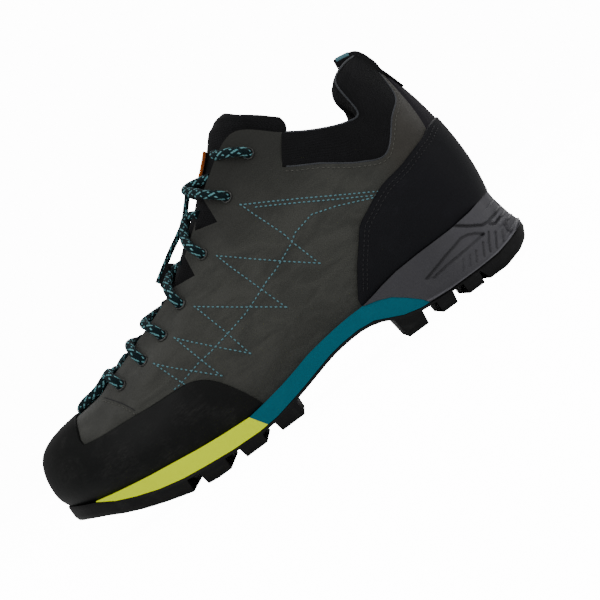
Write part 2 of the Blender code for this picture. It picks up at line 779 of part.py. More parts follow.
def make_counter(parts, cutters):
    edge = side_outline(COUNTER_EDGE, BACK_HEIGHT)
    foot = sole_side_line(COUNTER_EDGE[0][0], 0.0, GAP)
    behind = edge[-1][0]
    outline = foot + [(behind, foot[-1][1])] + edge[:0:-1]
    counter = make_overlay("heel_counter", outline, parts, cutters)
    part_material(counter, "rubber_counter", (0.028, 0.027, 0.030), 0.66)


def make_collar(parts):
    """Padded ring with a lining flange inside the suede, lofted round the heel."""
    spacing = 1.0 / COLUMNS_PER_RIB
    start = CORNER_RIB + 0.03
    u = np.arange(CORNER_RIB + spacing, RIB_COUNT - CORNER_RIB, spacing)
    u = np.concatenate([[start], u[u < RIB_COUNT - start - 0.1], [RIB_COUNT - start]])
    seam = seam_share(u)
    heights = np.linalg.norm(last_point(u, np.ones(len(u))) - last_point(u, seam), axis=1)
    rib_length = heights / (1.0 - seam)
    line = last_point(u, seam)
    rising = last_point(u, seam + 0.01) - line
    run = np.gradient(line, axis=0)
    cross = np.linalg.norm(np.cross(run, rising), axis=1)
    slant = np.linalg.norm(run, axis=1) * np.linalg.norm(rising, axis=1) / cross
    join = seam + GAP * 1.4 * slant / rib_length
    foot = seam - COLLAR_FLANGE / rib_length
    ends = np.minimum(u - CORNER_RIB, RIB_COUNT - CORNER_RIB - u)
    fullness = np.clip(0.45 + 0.55 * ends / 1.5, 0.0, 1.0)
    heel = np.clip((3.4 - abs(u - HEEL_RIB)) / 1.6, 0.0, 1.0)
    padding = COLLAR_PADDING + (COLLAR_HEEL_PADDING - COLLAR_PADDING) * heel
    inside = -(UPPER_WALL + GAP * 2)
    back = inside - (padding - UPPER_WALL - GAP * 2) * fullness
    section = (
        (join, np.full(len(u), -GAP)),
        (join + 0.30 * (1 - join), COLLAR_PUFF * fullness),
        (join + 0.75 * (1 - join), COLLAR_PUFF * fullness),
        (np.ones(len(u)) - 0.3 * GAP / rib_length, np.full(len(u), -0.25 * UPPER_WALL)),
        (np.ones(len(u)), 0.5 * back),
        (join + 0.84 * (1 - join), back),
        (join + 0.20 * (1 - join), back - COLLAR_PUFF * fullness),
        (foot, back * 0.75 + inside * 0.25),
        (foot, np.full(len(u), inside)),
        (join, np.full(len(u), inside)),
    )
    rings = np.stack([shell_point(u, v, out) for v, out in section], axis=1)
    count, ring = rings.shape[:2]
    faces = []
    for i in range(count - 1):
        for j in range(ring):
            following = (j + 1) % ring
            faces.append((i * ring + j, i * ring + following,
                          (i + 1) * ring + following, (i + 1) * ring + j))
    faces.append(tuple(range(ring)))
    faces.append(tuple((count - 1) * ring + j for j in range(ring)))
    collar = new_object("collar", rings.reshape(-1, 3), faces, parts)
    face_outwards(collar)
    smooth(collar, 60.0)
    heel_section = rings[int(np.argmin(abs(u - HEEL_RIB)))]
    part_material(collar, "collar_textile", (0.022, 0.022, 0.026), 0.95)
    return heel_section


def make_outsole(parts, cutters, body):
    """Black rubber with its toe bumper, lugs and grooves."""
    outsole = sole_slab(
        "outsole", parts,
        lambda x: sole_height(x, LUG_COLUMN),
        lambda x: sole_height(x, BASE_COLUMN),
        ((0.0, -0.0010), (0.25, 0.0), (1.0, 0.0)),
    )
    boolean(outsole, body, "DIFFERENCE")
    below = -0.25 * HEEL_CUP_HEIGHT
    for number, (a, b, c, d) in enumerate(LUG_GAPS, 1):
        middle = np.linspace(b, c, 12 if b - c > 0.1 else 2)
        x = at(middle)
        roof = [(float(p), float(q)) for p, q in zip(x, sole_height(x, BASE_COLUMN) - WEB_THICKNESS)]
        outline = [(float(at(a)), below)] + roof + [(float(at(d)), below)]
        boolean(outsole, as_cutter(side_prism(f"lug_gap_{number}", outline, cutters)), "DIFFERENCE")
    for number, (front, back, side) in enumerate(LONG_GROOVES, 1):
        x0, x1, y = float(at(front)), float(at(back)), side * BALL_WIDTH
        outline = [(x0, below), (x0, GROOVE_DEPTH), (x1, GROOVE_DEPTH), (x1, below)]
        groove = side_prism(f"long_groove_{number}", outline, cutters,
                            y - GROOVE_WIDTH / 2, y + GROOVE_WIDTH / 2)
        boolean(outsole, as_cutter(groove), "DIFFERENCE")
    smooth(outsole, 30.0)
    part_material(outsole, "rubber_outsole", (0.032, 0.032, 0.034), 0.7)


def midsole_slab(name, parts, rows, fade=None):
    """Slab between the outsole and the top edge of the sole's side."""
    return sole_slab(
        name, parts,
        lambda x: sole_height(x, BASE_COLUMN) + GAP,
        lambda x: np.maximum(sole_height(x, SIDE_COLUMN), sole_height(x, BASE_COLUMN) + 2 * GAP),
        rows, fade,
    )


def make_midsole(parts, cutters, body):
    """Forefoot wedge, arch band and heel piece, cut from one slab along their seams."""
    plain = ((0.0, -0.0002), (1.0, -MIDSOLE_DRAFT))
    seam_top = (float(at(TIP_SEAM_FRONT[0])), TIP_SEAM_FRONT[1] * HEEL_CUP_HEIGHT)
    seam_foot = (float(at(TIP_SEAM_BACK[0])), TIP_SEAM_BACK[1] * HEEL_CUP_HEIGHT)
    high, low = HEEL_CUP_HEIGHT * 1.3, 0.0
    far = float(at(WEDGE_TIP))
    behind = float(at(-0.05))
    arch = side_outline(ARCH_SEAM, HEEL_CUP_HEIGHT)
    wedge = [(far, low), (far, high), (seam_top[0], high), seam_top, seam_foot, (seam_foot[0], low)]
    shift = GAP * 1.2
    band = [(seam_foot[0] + shift, low), (seam_foot[0] + shift, seam_foot[1]),
            (seam_top[0] + shift, seam_top[1]), (seam_top[0] + shift, high),
            (arch[0][0], high)] + arch + [(arch[-1][0], low)]
    heel = [(x + shift, z + shift) for x, z in arch]
    heel = [(heel[-1][0], low), (behind, low), (behind, high), (heel[0][0], high)] + heel
    pieces = (
        ("midsole_forefoot", plain, None, wedge, (0.62, 0.70, 0.045), 0.55),
        ("midsole_arch", plain, None, band, (0.010, 0.200, 0.290), 0.5),
        ("midsole_heel", HEEL_STEPS, STEPS_FADE, heel, (0.135, 0.133, 0.140), 0.6),
    )
    for name, rows, fade, outline, colour, roughness in pieces:
        piece = midsole_slab(name, parts, rows, fade)
        cutter = as_cutter(side_prism(f"{name}_seams", outline, cutters))
        boolean(piece, cutter, "INTERSECT")
        boolean(piece, body, "DIFFERENCE")
        if name == "midsole_heel":
            leaf = side_prism("heel_recess", side_outline(RECESS, HEEL_CUP_HEIGHT), cutters)
            core = midsole_slab("heel_core", cutters,
                                tuple((s, o - RECESS_DEPTH) for s, o in HEEL_STEPS), None)
            boolean(leaf, as_cutter(core), "DIFFERENCE")
            boolean(piece, as_cutter(leaf), "DIFFERENCE")
        smooth(piece, 30.0)
        part_material(piece, name, colour, roughness)


def make_insole(parts):
    """Footbed on the deck, inside the upper's wall."""
    u = rib_columns()
    inset = UPPER_WALL + 3 * GAP
    rings = []
    for lift in (GAP, GAP + INSOLE_THICKNESS):
        points = shell_point(u, np.zeros(len(u)), np.full(len(u), -inset))
        points[:, 2] = sole_height(points[:, 0], DECK_COLUMN) + lift
        rings.append(points)
    insole = ring_solid("insole", rings, parts)
    smooth(insole, 30.0)
    part_material(insole, "insole_textile", (0.03, 0.03, 0.033), 0.95)


def tongue_grid(rows=TONGUE_ROWS, columns=TONGUE_COLUMNS):
    """Points of the tongue's outside, bottom to top and outer to inner side."""
    table = np.array(TONGUE)
    line = np.stack([at(table[:, 0]), np.zeros(len(table)), table[:, 1] * INSTEP_HEIGHT], axis=1)
    shape = np.stack([table[:, 2] * BALL_WIDTH, table[:, 3] * BALL_WIDTH,
                      np.zeros(len(table))], axis=1)
    knots = chord_knots(line)
    across = np.linspace(-1.0, 1.0, columns + 1)
    share, q = np.meshgrid(np.linspace(0.0, 1.0, rows + 1), across, indexing="ij")
    # the top edge is rounded: its corners stop lower than its middle
    where = (share - TONGUE_ROUNDING * share**4 * q**4) * knots[-1]

    def read(points, places):
        many = np.broadcast_to(points, places.shape + points.shape)
        return hermite(many, np.broadcast_to(knots, places.shape + knots.shape), places)

    middle = read(line, where)
    step = knots[-1] * 0.002
    run = read(line, np.clip(where + step, 0, knots[-1])) - read(line, where - step)
    forward = np.stack([-run[..., 2], np.zeros(run.shape[:-1]), run[..., 0]], axis=-1)
    forward = forward / np.linalg.norm(forward, axis=-1)[..., None]
    sizes = read(shape, where)
    start, end = TONGUE_LEVEL
    level = np.clip((share - start) / (end - start), 0.0, 1.0)[..., None]
    bend = forward * (1.0 - level) + np.array([-0.97, 0.0, 0.24]) * level
    bend = bend / np.linalg.norm(bend, axis=-1)[..., None]
    points = middle - bend * (sizes[..., 1] * q**2)[..., None]
    points[..., 1] += sizes[..., 0] * q
    return points, forward


def make_tongue(parts):
    """Padded sheet under the eyestays, with wings that wrap back at its top."""
    points, _ = tongue_grid()
    rows, columns = points.shape[:2]
    faces = [(i * columns + j, i * columns + j + 1, (i + 1) * columns + j + 1, (i + 1) * columns + j)
             for i in range(rows - 1) for j in range(columns - 1)]
    tongue = new_object("tongue", points.reshape(-1, 3), faces, parts)
    thicken(tongue, TONGUE_PADDING, outwards=True)
    smooth(tongue, 60.0)
    part_material(tongue, "tongue_textile", (0.028, 0.027, 0.030), 0.95)
    return tongue


def tongue_frame(along):
    """Middle point of the tongue's outside at a share of the length, with its normal."""
    points, forward = tongue_grid(rows=60)
    middle = points[:, points.shape[1] // 2]
    normal = forward[:, points.shape[1] // 2]
    index = int(np.argmin(abs(middle[:, 0] - float(at(along)))))
    return middle[index], normal[index]


def tongue_strip(name, along, profile, width, parts):
    """Extruded outline set on the tongue: profile in (along the tongue, off it)."""
    middle, normal = tongue_frame(along)
    uphill = np.array([normal[2], 0.0, -normal[0]])
    outline = [middle + uphill * s + normal * h for s, h in profile]
    strip = side_prism(name, [(p[0], p[2]) for p in outline], parts, -width / 2, width / 2)
    return strip


def make_tongue_trim(parts):
    """Plain label tab and the webbing bridge for the lace."""
    half = LABEL_LENGTH / 2
    seat = TRIM_SEAT
    profile = ((-half, seat), (half, seat), (half, seat + LABEL_THICKNESS),
               (-half, seat + LABEL_THICKNESS))
    label = tongue_strip("tongue_label", 0.418, profile, LABEL_WIDTH, parts)
    part_material(label, "label_webbing", (0.62, 0.22, 0.03), 0.7)
    half, wall, high = KEEPER_LENGTH / 2, KEEPER_THICKNESS, KEEPER_HEIGHT
    seat += 3 * GAP
    profile = ((-half, seat), (-half, high - wall), (-half + wall, high), (half - wall, high),
               (half, high - wall), (half, seat), (half - wall, seat), (half - wall, high - wall),
               (wall - half, high - wall), (wall - half, seat))
    keeper = tongue_strip("lace_keeper", 0.565, profile, KEEPER_WIDTH, parts)
    part_material(keeper, "keeper_webbing", (0.02, 0.02, 0.022), 0.9)


def make_pull_loop(parts, section):
    """Webbing from the suede up the back, over the collar and down inside."""
    v = np.linspace(0.755, 0.975, 5)
    u = np.full(len(v), float(HEEL_RIB))
    back = shell_point(u, v, np.full(len(v), COLLAR_PUFF + 2 * GAP))
    centre = section.mean(axis=0)
    lifts = (0.0010, 0.0016, 0.0048, 0.0076)
    over = []
    for corner, lift in zip(section[3:7], lifts):
        away = corner - centre
        over.append(corner + away / np.linalg.norm(away) * lift)
    path = smooth_path(np.concatenate([back, over]) * [1.0, 0.0, 1.0], 20)
    run = np.gradient(path, axis=0)
    out = np.stack([run[:, 2], np.zeros(len(run)), -run[:, 0]], axis=1)
    out = out / np.linalg.norm(out, axis=1)[:, None]
    far = path + out * LOOP_THICKNESS
    outline = [(p[0], p[2]) for p in path] + [(p[0], p[2]) for p in far[::-1]]
    loop = side_prism("heel_pull_loop", outline, parts, -LOOP_WIDTH / 2, LOOP_WIDTH / 2)
    smooth(loop)
    part_material(loop, "pull_webbing", (0.02, 0.02, 0.022), 0.9)


def edge_place(u, side):
    """Point on the eyestay's edge, and the suede's normal there."""
    where = np.array([u if side < 0 else RIB_COUNT - u])
    level = np.array([1.0])
    return last_point(where, level)[0], last_normal(where, level)[0]


def eyelet_place(number, side):
    """Centre of an eyelet on the suede, the normal there, and the edge straight above."""
    u, below = EYELETS[number][:2]
    level = np.array([share_below_edge(u, below)])
    where = np.array([u if side < 0 else RIB_COUNT - u])
    return last_point(where, level)[0], last_normal(where, level)[0], edge_place(u, side)[0]


def make_eyelets(parts):
    """Seven ring eyelets on each side of the throat."""
    profile = ((EYELET_HOLE / 2, 0.0), (EYELET_OUTER / 2, 0.0),
               (EYELET_OUTER / 2 * 0.94, EYELET_THICKNESS), (EYELET_HOLE / 2 * 1.1, EYELET_THICKNESS))
    turns = EYELET_TURNS
    angle = np.linspace(0.0, 2 * np.pi, turns, endpoint=False)
    for side, word in ((-1, "outer"), (1, "inner")):
        for number in range(len(EYELETS)):
            centre, normal, edge = eyelet_place(number, side)
            across = edge - centre
            across -= normal * np.dot(across, normal)
            across /= np.linalg.norm(across)
            along = np.cross(normal, across)
            vertices = []
            for a in angle:
                spoke = across * np.cos(a) + along * np.sin(a)
                for radius, lift in profile:
                    vertices.append(centre + spoke * radius + normal * (GAP * 1.6 + lift))
            ring = len(profile)
            faces = [(i * ring + j, i * ring + (j + 1) % ring,
                      (i + 1) % turns * ring + (j + 1) % ring, (i + 1) % turns * ring + j)
                     for i in range(turns) for j in range(ring)]
            eyelet = new_object(f"eyelet_{word}_{number + 1}", vertices, faces, parts)
            face_outwards(eyelet)
            smooth(eyelet)
            part_material(eyelet, "eyelet_metal", (0.35, 0.35, 0.34), 0.45, 0.6)


def over_edge(number, side):
    """Points of a strand from an eyelet's outside to the top of the eyestay's edge."""
    radius = LACE_DIAMETER / 2
    centre, normal, _ = eyelet_place(number, side)
    edge, slope = edge_place(EYELETS[number][2], side)
    lift = radius + EYELET_THICKNESS + LACE_CLEARANCE + 2 * GAP
    up = edge - centre
    away = slope + [0.0, 0.0, 1.0]
    top = edge + away / np.linalg.norm(away) * (radius + 2 * LACE_CLEARANCE)
    return [centre + normal * lift + up * 0.12,
            centre + (normal + slope) * lift * 0.55 + up * 0.58, top]


def under_edge(u, side, inwards, lower):
    """Point inside the eyestay's edge: share of its offset kept, and how much lower."""
    point = edge_place(u, side)[0].copy()
    return point * [1.0, inwards, 1.0] - [0.0, 0.0, lower]


def on_vamp(u, v, side):
    """Middle of a lace that lies on the vamp."""
    where, level = np.array([u if side < 0 else RIB_COUNT - u]), np.array([v])
    lift = LACE_DIAMETER / 2 + LACE_CLEARANCE
    return (last_point(where, level) + last_normal(where, level) * lift)[0]


def make_laces(parts, cutters):
    """Bar before the throat, crossings up to the top eyelets, and the two tucked ends."""
    last = len(EYELETS) - 1
    middles = [np.array([float(at(a)), 0.0, h * INSTEP_HEIGHT]) for a, h in LACE_MIDDLES]
    ways = [over_edge(0, side) + [on_vamp(2.3, 0.95, side), on_vamp(1.2, 0.88, side)] for side in (-1, 1)]
    laces = [("lace_bar", [smooth_path(ways[0] + [middles[0]] + ways[1][::-1], 15)])]
    for k in range(last):
        paths = []
        for side in (-1, 1):
            inwards = 0.72 if k else 0.85
            start = over_edge(k, side) if k else [under_edge(EYELETS[0][3], side, inwards, 0.001)]
            dive = under_edge(EYELETS[k + 1][3], -side, inwards, 0.001)
            paths.append(smooth_path(start + [middles[k + 1], dive], 8))
        laces.append((f"lace_crossing_{k + 1}", paths))
    for side, word in ((-1, "outer"), (1, "inner")):
        tucked = under_edge(EYELETS[last][2], side, 0.84, -0.0020)
        laces.append((f"lace_end_{word}", [smooth_path(over_edge(last, side) + [tucked], 6)]))
    run = [(float(at(a)), 0.0, h * INSTEP_HEIGHT) for a, h in LACE_RUN]
    laces.append(("lace_run", [smooth_path(run, 4)]))
    for name, paths in laces:
        lace = tube(name, paths[0], RUN_DIAMETER if name == "lace_run" else LACE_DIAMETER, parts)
        for path in paths[1:]:
            other = as_cutter(tube(f"{name}_other", path, LACE_DIAMETER, cutters))
            boolean(lace, other, "UNION")
        smooth(lace, 60.0)
        part_material(lace, "lace_cord", (0.02, 0.10, 0.13), 0.85)


def main():
    for old in list(bpy.data.objects):
        bpy.data.objects.remove(old)
    parts = bpy.data.collections.new("approach_shoe")
    cutters = bpy.data.collections.new("cutters")
    bpy.context.scene.collection.children.link(parts)
    bpy.context.scene.collection.children.link(cutters)
    body = as_cutter(last_body("foot_of_upper", cutters, GAP))
    make_outsole(parts, cutters, body)
    make_midsole(parts, cutters, body)
    make_insole(parts)
    make_upper(parts, cutters)
    make_rand(parts, cutters)
    make_counter(parts, cutters)
    section = make_collar(parts)
    make_tongue(parts)
    make_tongue_trim(parts)
    make_pull_loop(parts, section)
    make_eyelets(parts)
    make_laces(parts, cutters)


main()
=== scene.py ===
# %% [markdown]
# # An approach shoe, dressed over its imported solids
#
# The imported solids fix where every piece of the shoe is. This script loads them, then
# makes each piece again with the finish of the real one: napped suede, matte rubber,
# knit textile, moulded foam and braided cord. It works in metres, with +Z up, the toe
# towards -X and the outer side of the foot towards -Y.

import bmesh
import bpy
import json
import numpy as np
from mathutils import Matrix, Vector
from mathutils.kdtree import KDTree

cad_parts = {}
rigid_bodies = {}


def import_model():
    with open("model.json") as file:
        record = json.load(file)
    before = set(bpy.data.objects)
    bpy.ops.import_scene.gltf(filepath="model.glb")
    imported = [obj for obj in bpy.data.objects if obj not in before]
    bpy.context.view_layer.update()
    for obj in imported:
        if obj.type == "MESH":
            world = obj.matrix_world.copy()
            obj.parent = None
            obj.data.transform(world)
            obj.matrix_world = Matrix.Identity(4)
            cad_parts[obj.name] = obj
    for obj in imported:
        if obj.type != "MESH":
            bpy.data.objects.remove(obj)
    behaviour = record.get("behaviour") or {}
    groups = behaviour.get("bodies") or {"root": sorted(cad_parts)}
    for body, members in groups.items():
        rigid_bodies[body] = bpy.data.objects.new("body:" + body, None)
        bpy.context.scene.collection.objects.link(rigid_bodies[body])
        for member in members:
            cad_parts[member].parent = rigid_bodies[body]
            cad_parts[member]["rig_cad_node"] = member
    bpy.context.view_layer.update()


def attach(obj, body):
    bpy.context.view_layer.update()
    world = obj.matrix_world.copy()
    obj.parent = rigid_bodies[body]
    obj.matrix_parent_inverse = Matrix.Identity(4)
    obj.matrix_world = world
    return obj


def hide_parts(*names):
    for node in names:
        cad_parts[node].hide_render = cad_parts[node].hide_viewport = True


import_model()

# %% [markdown]
# ## Objects and nodes
# A few helpers serve the whole script. Numbers that are worked out in a node tree are
# maths nodes, and these find their tree from what is linked to them.

# %% Objects and nodes
def add_object(name, data):
    """Object that shows a mesh, a light or a camera."""
    made = bpy.data.objects.new(name, data)
    bpy.context.scene.collection.objects.link(made)
    return made


def edit(piece, change):
    """A change made to the faces of a piece's mesh."""
    shape = bmesh.new()
    shape.from_mesh(piece.data)
    change(shape)
    shape.to_mesh(piece.data)
    shape.free()


def wire(sockets, values):
    """Inputs set to values, or linked to outputs of other nodes."""
    for key, value in values.items():
        if isinstance(value, bpy.types.NodeSocket):
            value.id_data.links.new(value, sockets[key])
        else:
            sockets[key].default_value = value


def node(tree, kind, inputs={}, **settings):
    """Node with its settings and inputs."""
    made = tree.nodes.new(kind)
    for key, value in settings.items():
        setattr(made, key, value)
    wire(made.inputs, inputs)
    return made


def maths(operation, *values):
    tree = next(value for value in values if isinstance(value, bpy.types.NodeSocket)).id_data
    return node(tree, "ShaderNodeMath", dict(enumerate(values)), operation=operation).outputs[0]


def times(first, second):
    return maths("MULTIPLY", first, second)


def plus(first, second):
    return maths("ADD", first, second)


def minus(first, second):
    return maths("SUBTRACT", first, second)


print("helpers for objects and nodes")

# %% [markdown]
# ## Camera
# The photograph looks straight at the outer side of the shoe from about a metre away,
# and the shoe stands on its toe in it. Here the shoe rests on its sole, so the camera is
# rolled instead, and stays above the floor.

# %% Camera
CAMERA_PLACE = (-0.082, -1.0, 0.0513)
CAMERA_ROLL = 36.0      # degrees
CAMERA_LENS = 106.6     # mm, on a 36 mm sensor

lens = bpy.data.cameras.new("camera")
lens.lens, lens.sensor_width = CAMERA_LENS, 36.0
lens.clip_start, lens.clip_end = 0.05, 50.0
camera = add_object("camera", lens)
camera.matrix_world = (Matrix.Translation(CAMERA_PLACE) @ Matrix.Rotation(np.radians(90.0), 4, "X")
                       @ Matrix.Rotation(np.radians(-CAMERA_ROLL), 4, "Z"))
bpy.context.scene.camera = camera
print("camera", CAMERA_PLACE, "rolled", CAMERA_ROLL, "degrees")

# %% [markdown]
# ## Floor and light
# A pale floor and a pale world keep the background of a product photograph. One large
# soft light above and two weaker ones at the sides show the relief of dark rubber and
# suede without hard shadows.

# %% Floor and light
BACKDROP_SEEN, BACKDROP_SHINING = 14.0, 0.42
WHITE = (1.0, 1.0, 1.0, 1.0)
LIT_POINT = (-0.10, 0.0, 0.06)
# Name, place, size in metres, power in watts.
LIGHTS = (
    ("key_light", (-0.70, -1.10, 1.25), 1.1, 13.0),
    ("back_light", (0.55, 1.10, 1.10), 1.2, 9.0),
    ("heel_light", (1.20, -0.70, 0.55), 0.9, 5.0),
)


def with_nodes(block):
    """A new material or world, its tree, and its signal for what the camera sees."""
    block.use_nodes = True
    tree = block.node_tree
    return block, tree, node(tree, "ShaderNodeLightPath").outputs["Is Camera Ray"]


floor = add_object("floor", bpy.data.meshes.new("floor"))
edit(floor, lambda shape: bmesh.ops.create_circle(shape, cap_ends=True, segments=96, radius=12.0))
paint, tree, seen = with_nodes(bpy.data.materials.new("floor_paint"))
wire(tree.nodes["Principled BSDF"].inputs, {
    "Base Color": (0.9, 0.9, 0.9, 1.0), "Roughness": 0.9, "Emission Color": WHITE,
    "Emission Strength": times(seen, BACKDROP_SEEN)})
floor.data.materials.append(paint)

for name, place, size, power in LIGHTS:
    light = bpy.data.lights.new(name, "AREA")
    light.shape, light.size, light.energy = "SQUARE", size, power
    aim = (Vector(LIT_POINT) - Vector(place)).to_track_quat("-Z", "Y").to_matrix().to_4x4()
    add_object(name, light).matrix_world = Matrix.Translation(place) @ aim

bpy.context.scene.world, tree, seen = with_nodes(bpy.data.worlds.new("studio"))
strength = node(tree, "ShaderNodeMapRange",
                {"Value": seen, "To Min": BACKDROP_SHINING, "To Max": BACKDROP_SEEN}).outputs["Result"]
wire(tree.nodes["Background"].inputs, {"Color": WHITE, "Strength": strength})
print("lights", [lamp.name for lamp in bpy.data.lights])

# %% [markdown]
# ## The shoe's own surface
# An upper is pulled over a last, so one smooth surface carries the suede, the rubber toe
# rand, the heel counter and the collar. The same ribs as in the solids are read here, but
# much more finely. A place on the surface is u, counted in ribs round the shoe from the
# middle of the toe, and v, from the feather line (0) up to the top line (1).

# %% Sizes and tables of the shoe
SOLE_LENGTH, BALL_WIDTH = 0.302, 0.105
HEEL_CUP_HEIGHT, INSTEP_HEIGHT, BACK_HEIGHT = 0.040, 0.150, 0.142
HEEL_TO_ORIGIN = 0.0445
GAP, UPPER_WALL, RUBBER_LAYER = 0.0003, 0.0020, 0.0016
FEATHER_INSET, HEEL_INSET, HEEL_INSET_START = 0.0060, 0.0100, 0.86

# Outsole outline: share of the length from the heel, half widths outer and inner.
OUTLINE = (
    (0.0, 0.0, 0.0), (0.012, 0.155, 0.15), (0.035, 0.245, 0.24), (0.07, 0.31, 0.305),
    (0.13, 0.35, 0.34), (0.22, 0.357, 0.343), (0.33, 0.352, 0.325), (0.42, 0.362, 0.312),
    (0.5, 0.4, 0.32), (0.58, 0.46, 0.362), (0.65, 0.508, 0.422), (0.71, 0.524, 0.468),
    (0.77, 0.508, 0.492), (0.83, 0.455, 0.488), (0.88, 0.375, 0.455), (0.93, 0.255, 0.39),
    (0.965, 0.148, 0.318), (0.99, 0.018, 0.218), (1.0, -0.08, 0.08),
)
# Side view of the sole: share of the length, then lug faces, outsole top, side top, deck.
SOLE_PROFILE = (
    (0.0, 0.3, 0.35, 0.99, 0.66), (0.017, 0.16, 0.32, 0.98, 0.66), (0.04, 0.07, 0.275, 0.955, 0.66),
    (0.08, 0.0, 0.215, 0.895, 0.655), (0.127, 0.0, 0.2, 0.86, 0.645), (0.2, 0.0, 0.2, 0.85, 0.625),
    (0.25, 0.0, 0.225, 0.83, 0.61), (0.283, 0.0, 0.285, 0.79, 0.595), (0.307, 0.0, 0.37, 0.75, 0.585),
    (0.333, 0.0, 0.46, 0.715, 0.575), (0.367, 0.0, 0.485, 0.71, 0.56), (0.4, 0.0, 0.47, 0.69, 0.54),
    (0.433, 0.0, 0.435, 0.66, 0.505), (0.467, 0.0, 0.37, 0.62, 0.46), (0.5, 0.0, 0.305, 0.555, 0.415),
    (0.533, 0.0, 0.25, 0.5, 0.375), (0.573, 0.0, 0.19, 0.45, 0.335), (0.613, 0.0, 0.17, 0.41, 0.32),
    (0.667, 0.0, 0.185, 0.435, 0.325), (0.717, 0.0, 0.22, 0.47, 0.35), (0.77, 0.045, 0.265, 0.52, 0.4),
    (0.817, 0.135, 0.335, 0.56, 0.46), (0.86, 0.23, 0.43, 0.605, 0.53), (0.9, 0.335, 0.54, 0.65, 0.6),
    (0.933, 0.44, 0.67, 0.69, 0.66), (0.967, 0.53, 0.76, 0.76, 0.73), (1.0, 0.6, 0.85, 0.85, 0.79),
)
LUG_COLUMN, BASE_COLUMN, SIDE_COLUMN, DECK_COLUMN = 1, 2, 3, 4
# Ribs of the last from toe to heel, as in the solids: feather share; side line out and
# rise; shoulder line length share, in, and rise; top line length, half width, height;
# collar seam's share of the rise; extra fullness of the inner side.
RIBS = (
    (0.0, 0.054, 0.29, 0.0, 0.008, 0.805, 0.81, 0.0, 0.482, 0.85, 0.0),
    (0.055, 0.055, 0.285, 0.0, 0.018, 0.8, 0.808, 0.062, 0.487, 0.85, 0.0),
    (0.117, 0.052, 0.305, 0.0, 0.04, 0.785, 0.802, 0.115, 0.496, 0.84, 0.0),
    (0.192, 0.042, 0.3, 0.1, 0.075, 0.725, 0.787, 0.152, 0.516, 0.82, 0.0),
    (0.265, 0.033, 0.29, 0.4, 0.083, 0.71, 0.75, 0.172, 0.536, 0.82, 0.006),
    (0.332, 0.029, 0.295, 0.5, 0.072, 0.7, 0.693, 0.184, 0.578, 0.82, 0.016),
    (0.401, 0.03, 0.3, 0.5, 0.052, 0.69, 0.627, 0.19, 0.625, 0.82, 0.03),
    (0.47, 0.038, 0.29, 0.5, 0.018, 0.677, 0.557, 0.192, 0.702, 0.82, 0.044),
    (0.537, 0.046, 0.27, 0.5, -0.01, 0.66, 0.49, 0.19, 0.8, 0.82, 0.044),
    (0.588, 0.05, 0.26, 0.5, -0.024, 0.64, 0.423, 0.19, 0.905, 0.83, 0.036),
    (0.625, 0.05, 0.26, 0.55, -0.026, 0.65, 0.34, 0.206, 0.985, 0.85, 0.024),
    (0.655, 0.048, 0.29, 0.22, -0.033, 0.69, 0.267, 0.252, 0.878, 0.853, 0.012),
    (0.71, 0.048, 0.29, 0.45, -0.033, 0.67, 0.22, 0.286, 0.862, 0.817, 0.004),
    (0.777, 0.048, 0.295, 0.5, -0.029, 0.67, 0.167, 0.295, 0.812, 0.748, 0.0),
    (0.841, 0.046, 0.267, 0.5, -0.029, 0.633, 0.134, 0.267, 0.815, 0.69, 0.0),
    (0.909, 0.042, 0.26, 0.2, -0.024, 0.6, 0.134, 0.214, 0.958, 0.69, 0.0),
    (0.954, 0.048, 0.28, 0.12, -0.016, 0.63, 0.102, 0.133, 1.005, 0.735, 0.0),
    (1.0, 0.058, 0.295, 0.05, -0.027, 0.655, 0.067, 0.0, 1.015, 0.885, 0.0),
)
CORNER_RIB = 11
HEEL_RIB = len(RIBS) - 1
RIB_COUNT = 2 * HEEL_RIB
SIDES = ((-1, "outer"), (1, "inner"))


# %% Curves through points
def at(along):
    """X of a share of the sole's length, counted from the heel's end."""
    return HEEL_TO_ORIGIN - np.asarray(along) * SOLE_LENGTH


def along_share(x):
    """Share of the sole's length at x."""
    return (HEEL_TO_ORIGIN - np.asarray(x)) / SOLE_LENGTH


def sole_height(x, column):
    """Height of one line of the sole's side view at x."""
    rows = np.array(SOLE_PROFILE)
    return np.interp(along_share(x), rows[:, 0], rows[:, column]) * HEEL_CUP_HEIGHT


def side_outline(rows, height):
    """Side-view table of shares turned into x and z."""
    return [(float(at(along)), share * height) for along, share in rows]


def soft_step(value, start, end):
    """Smooth rise from 0 at start to 1 at end."""
    t = np.clip((value - start) / (end - start), 0.0, 1.0)
    return t * t * (3 - 2 * t)


def unit(vectors):
    """Vectors made one long."""
    return vectors / np.linalg.norm(vectors, axis=-1)[..., None]


def read_along(where, length, curve):
    """Values of a sampled curve at measures along it."""
    return np.stack([np.interp(where, length, column) for column in curve.T], axis=1)


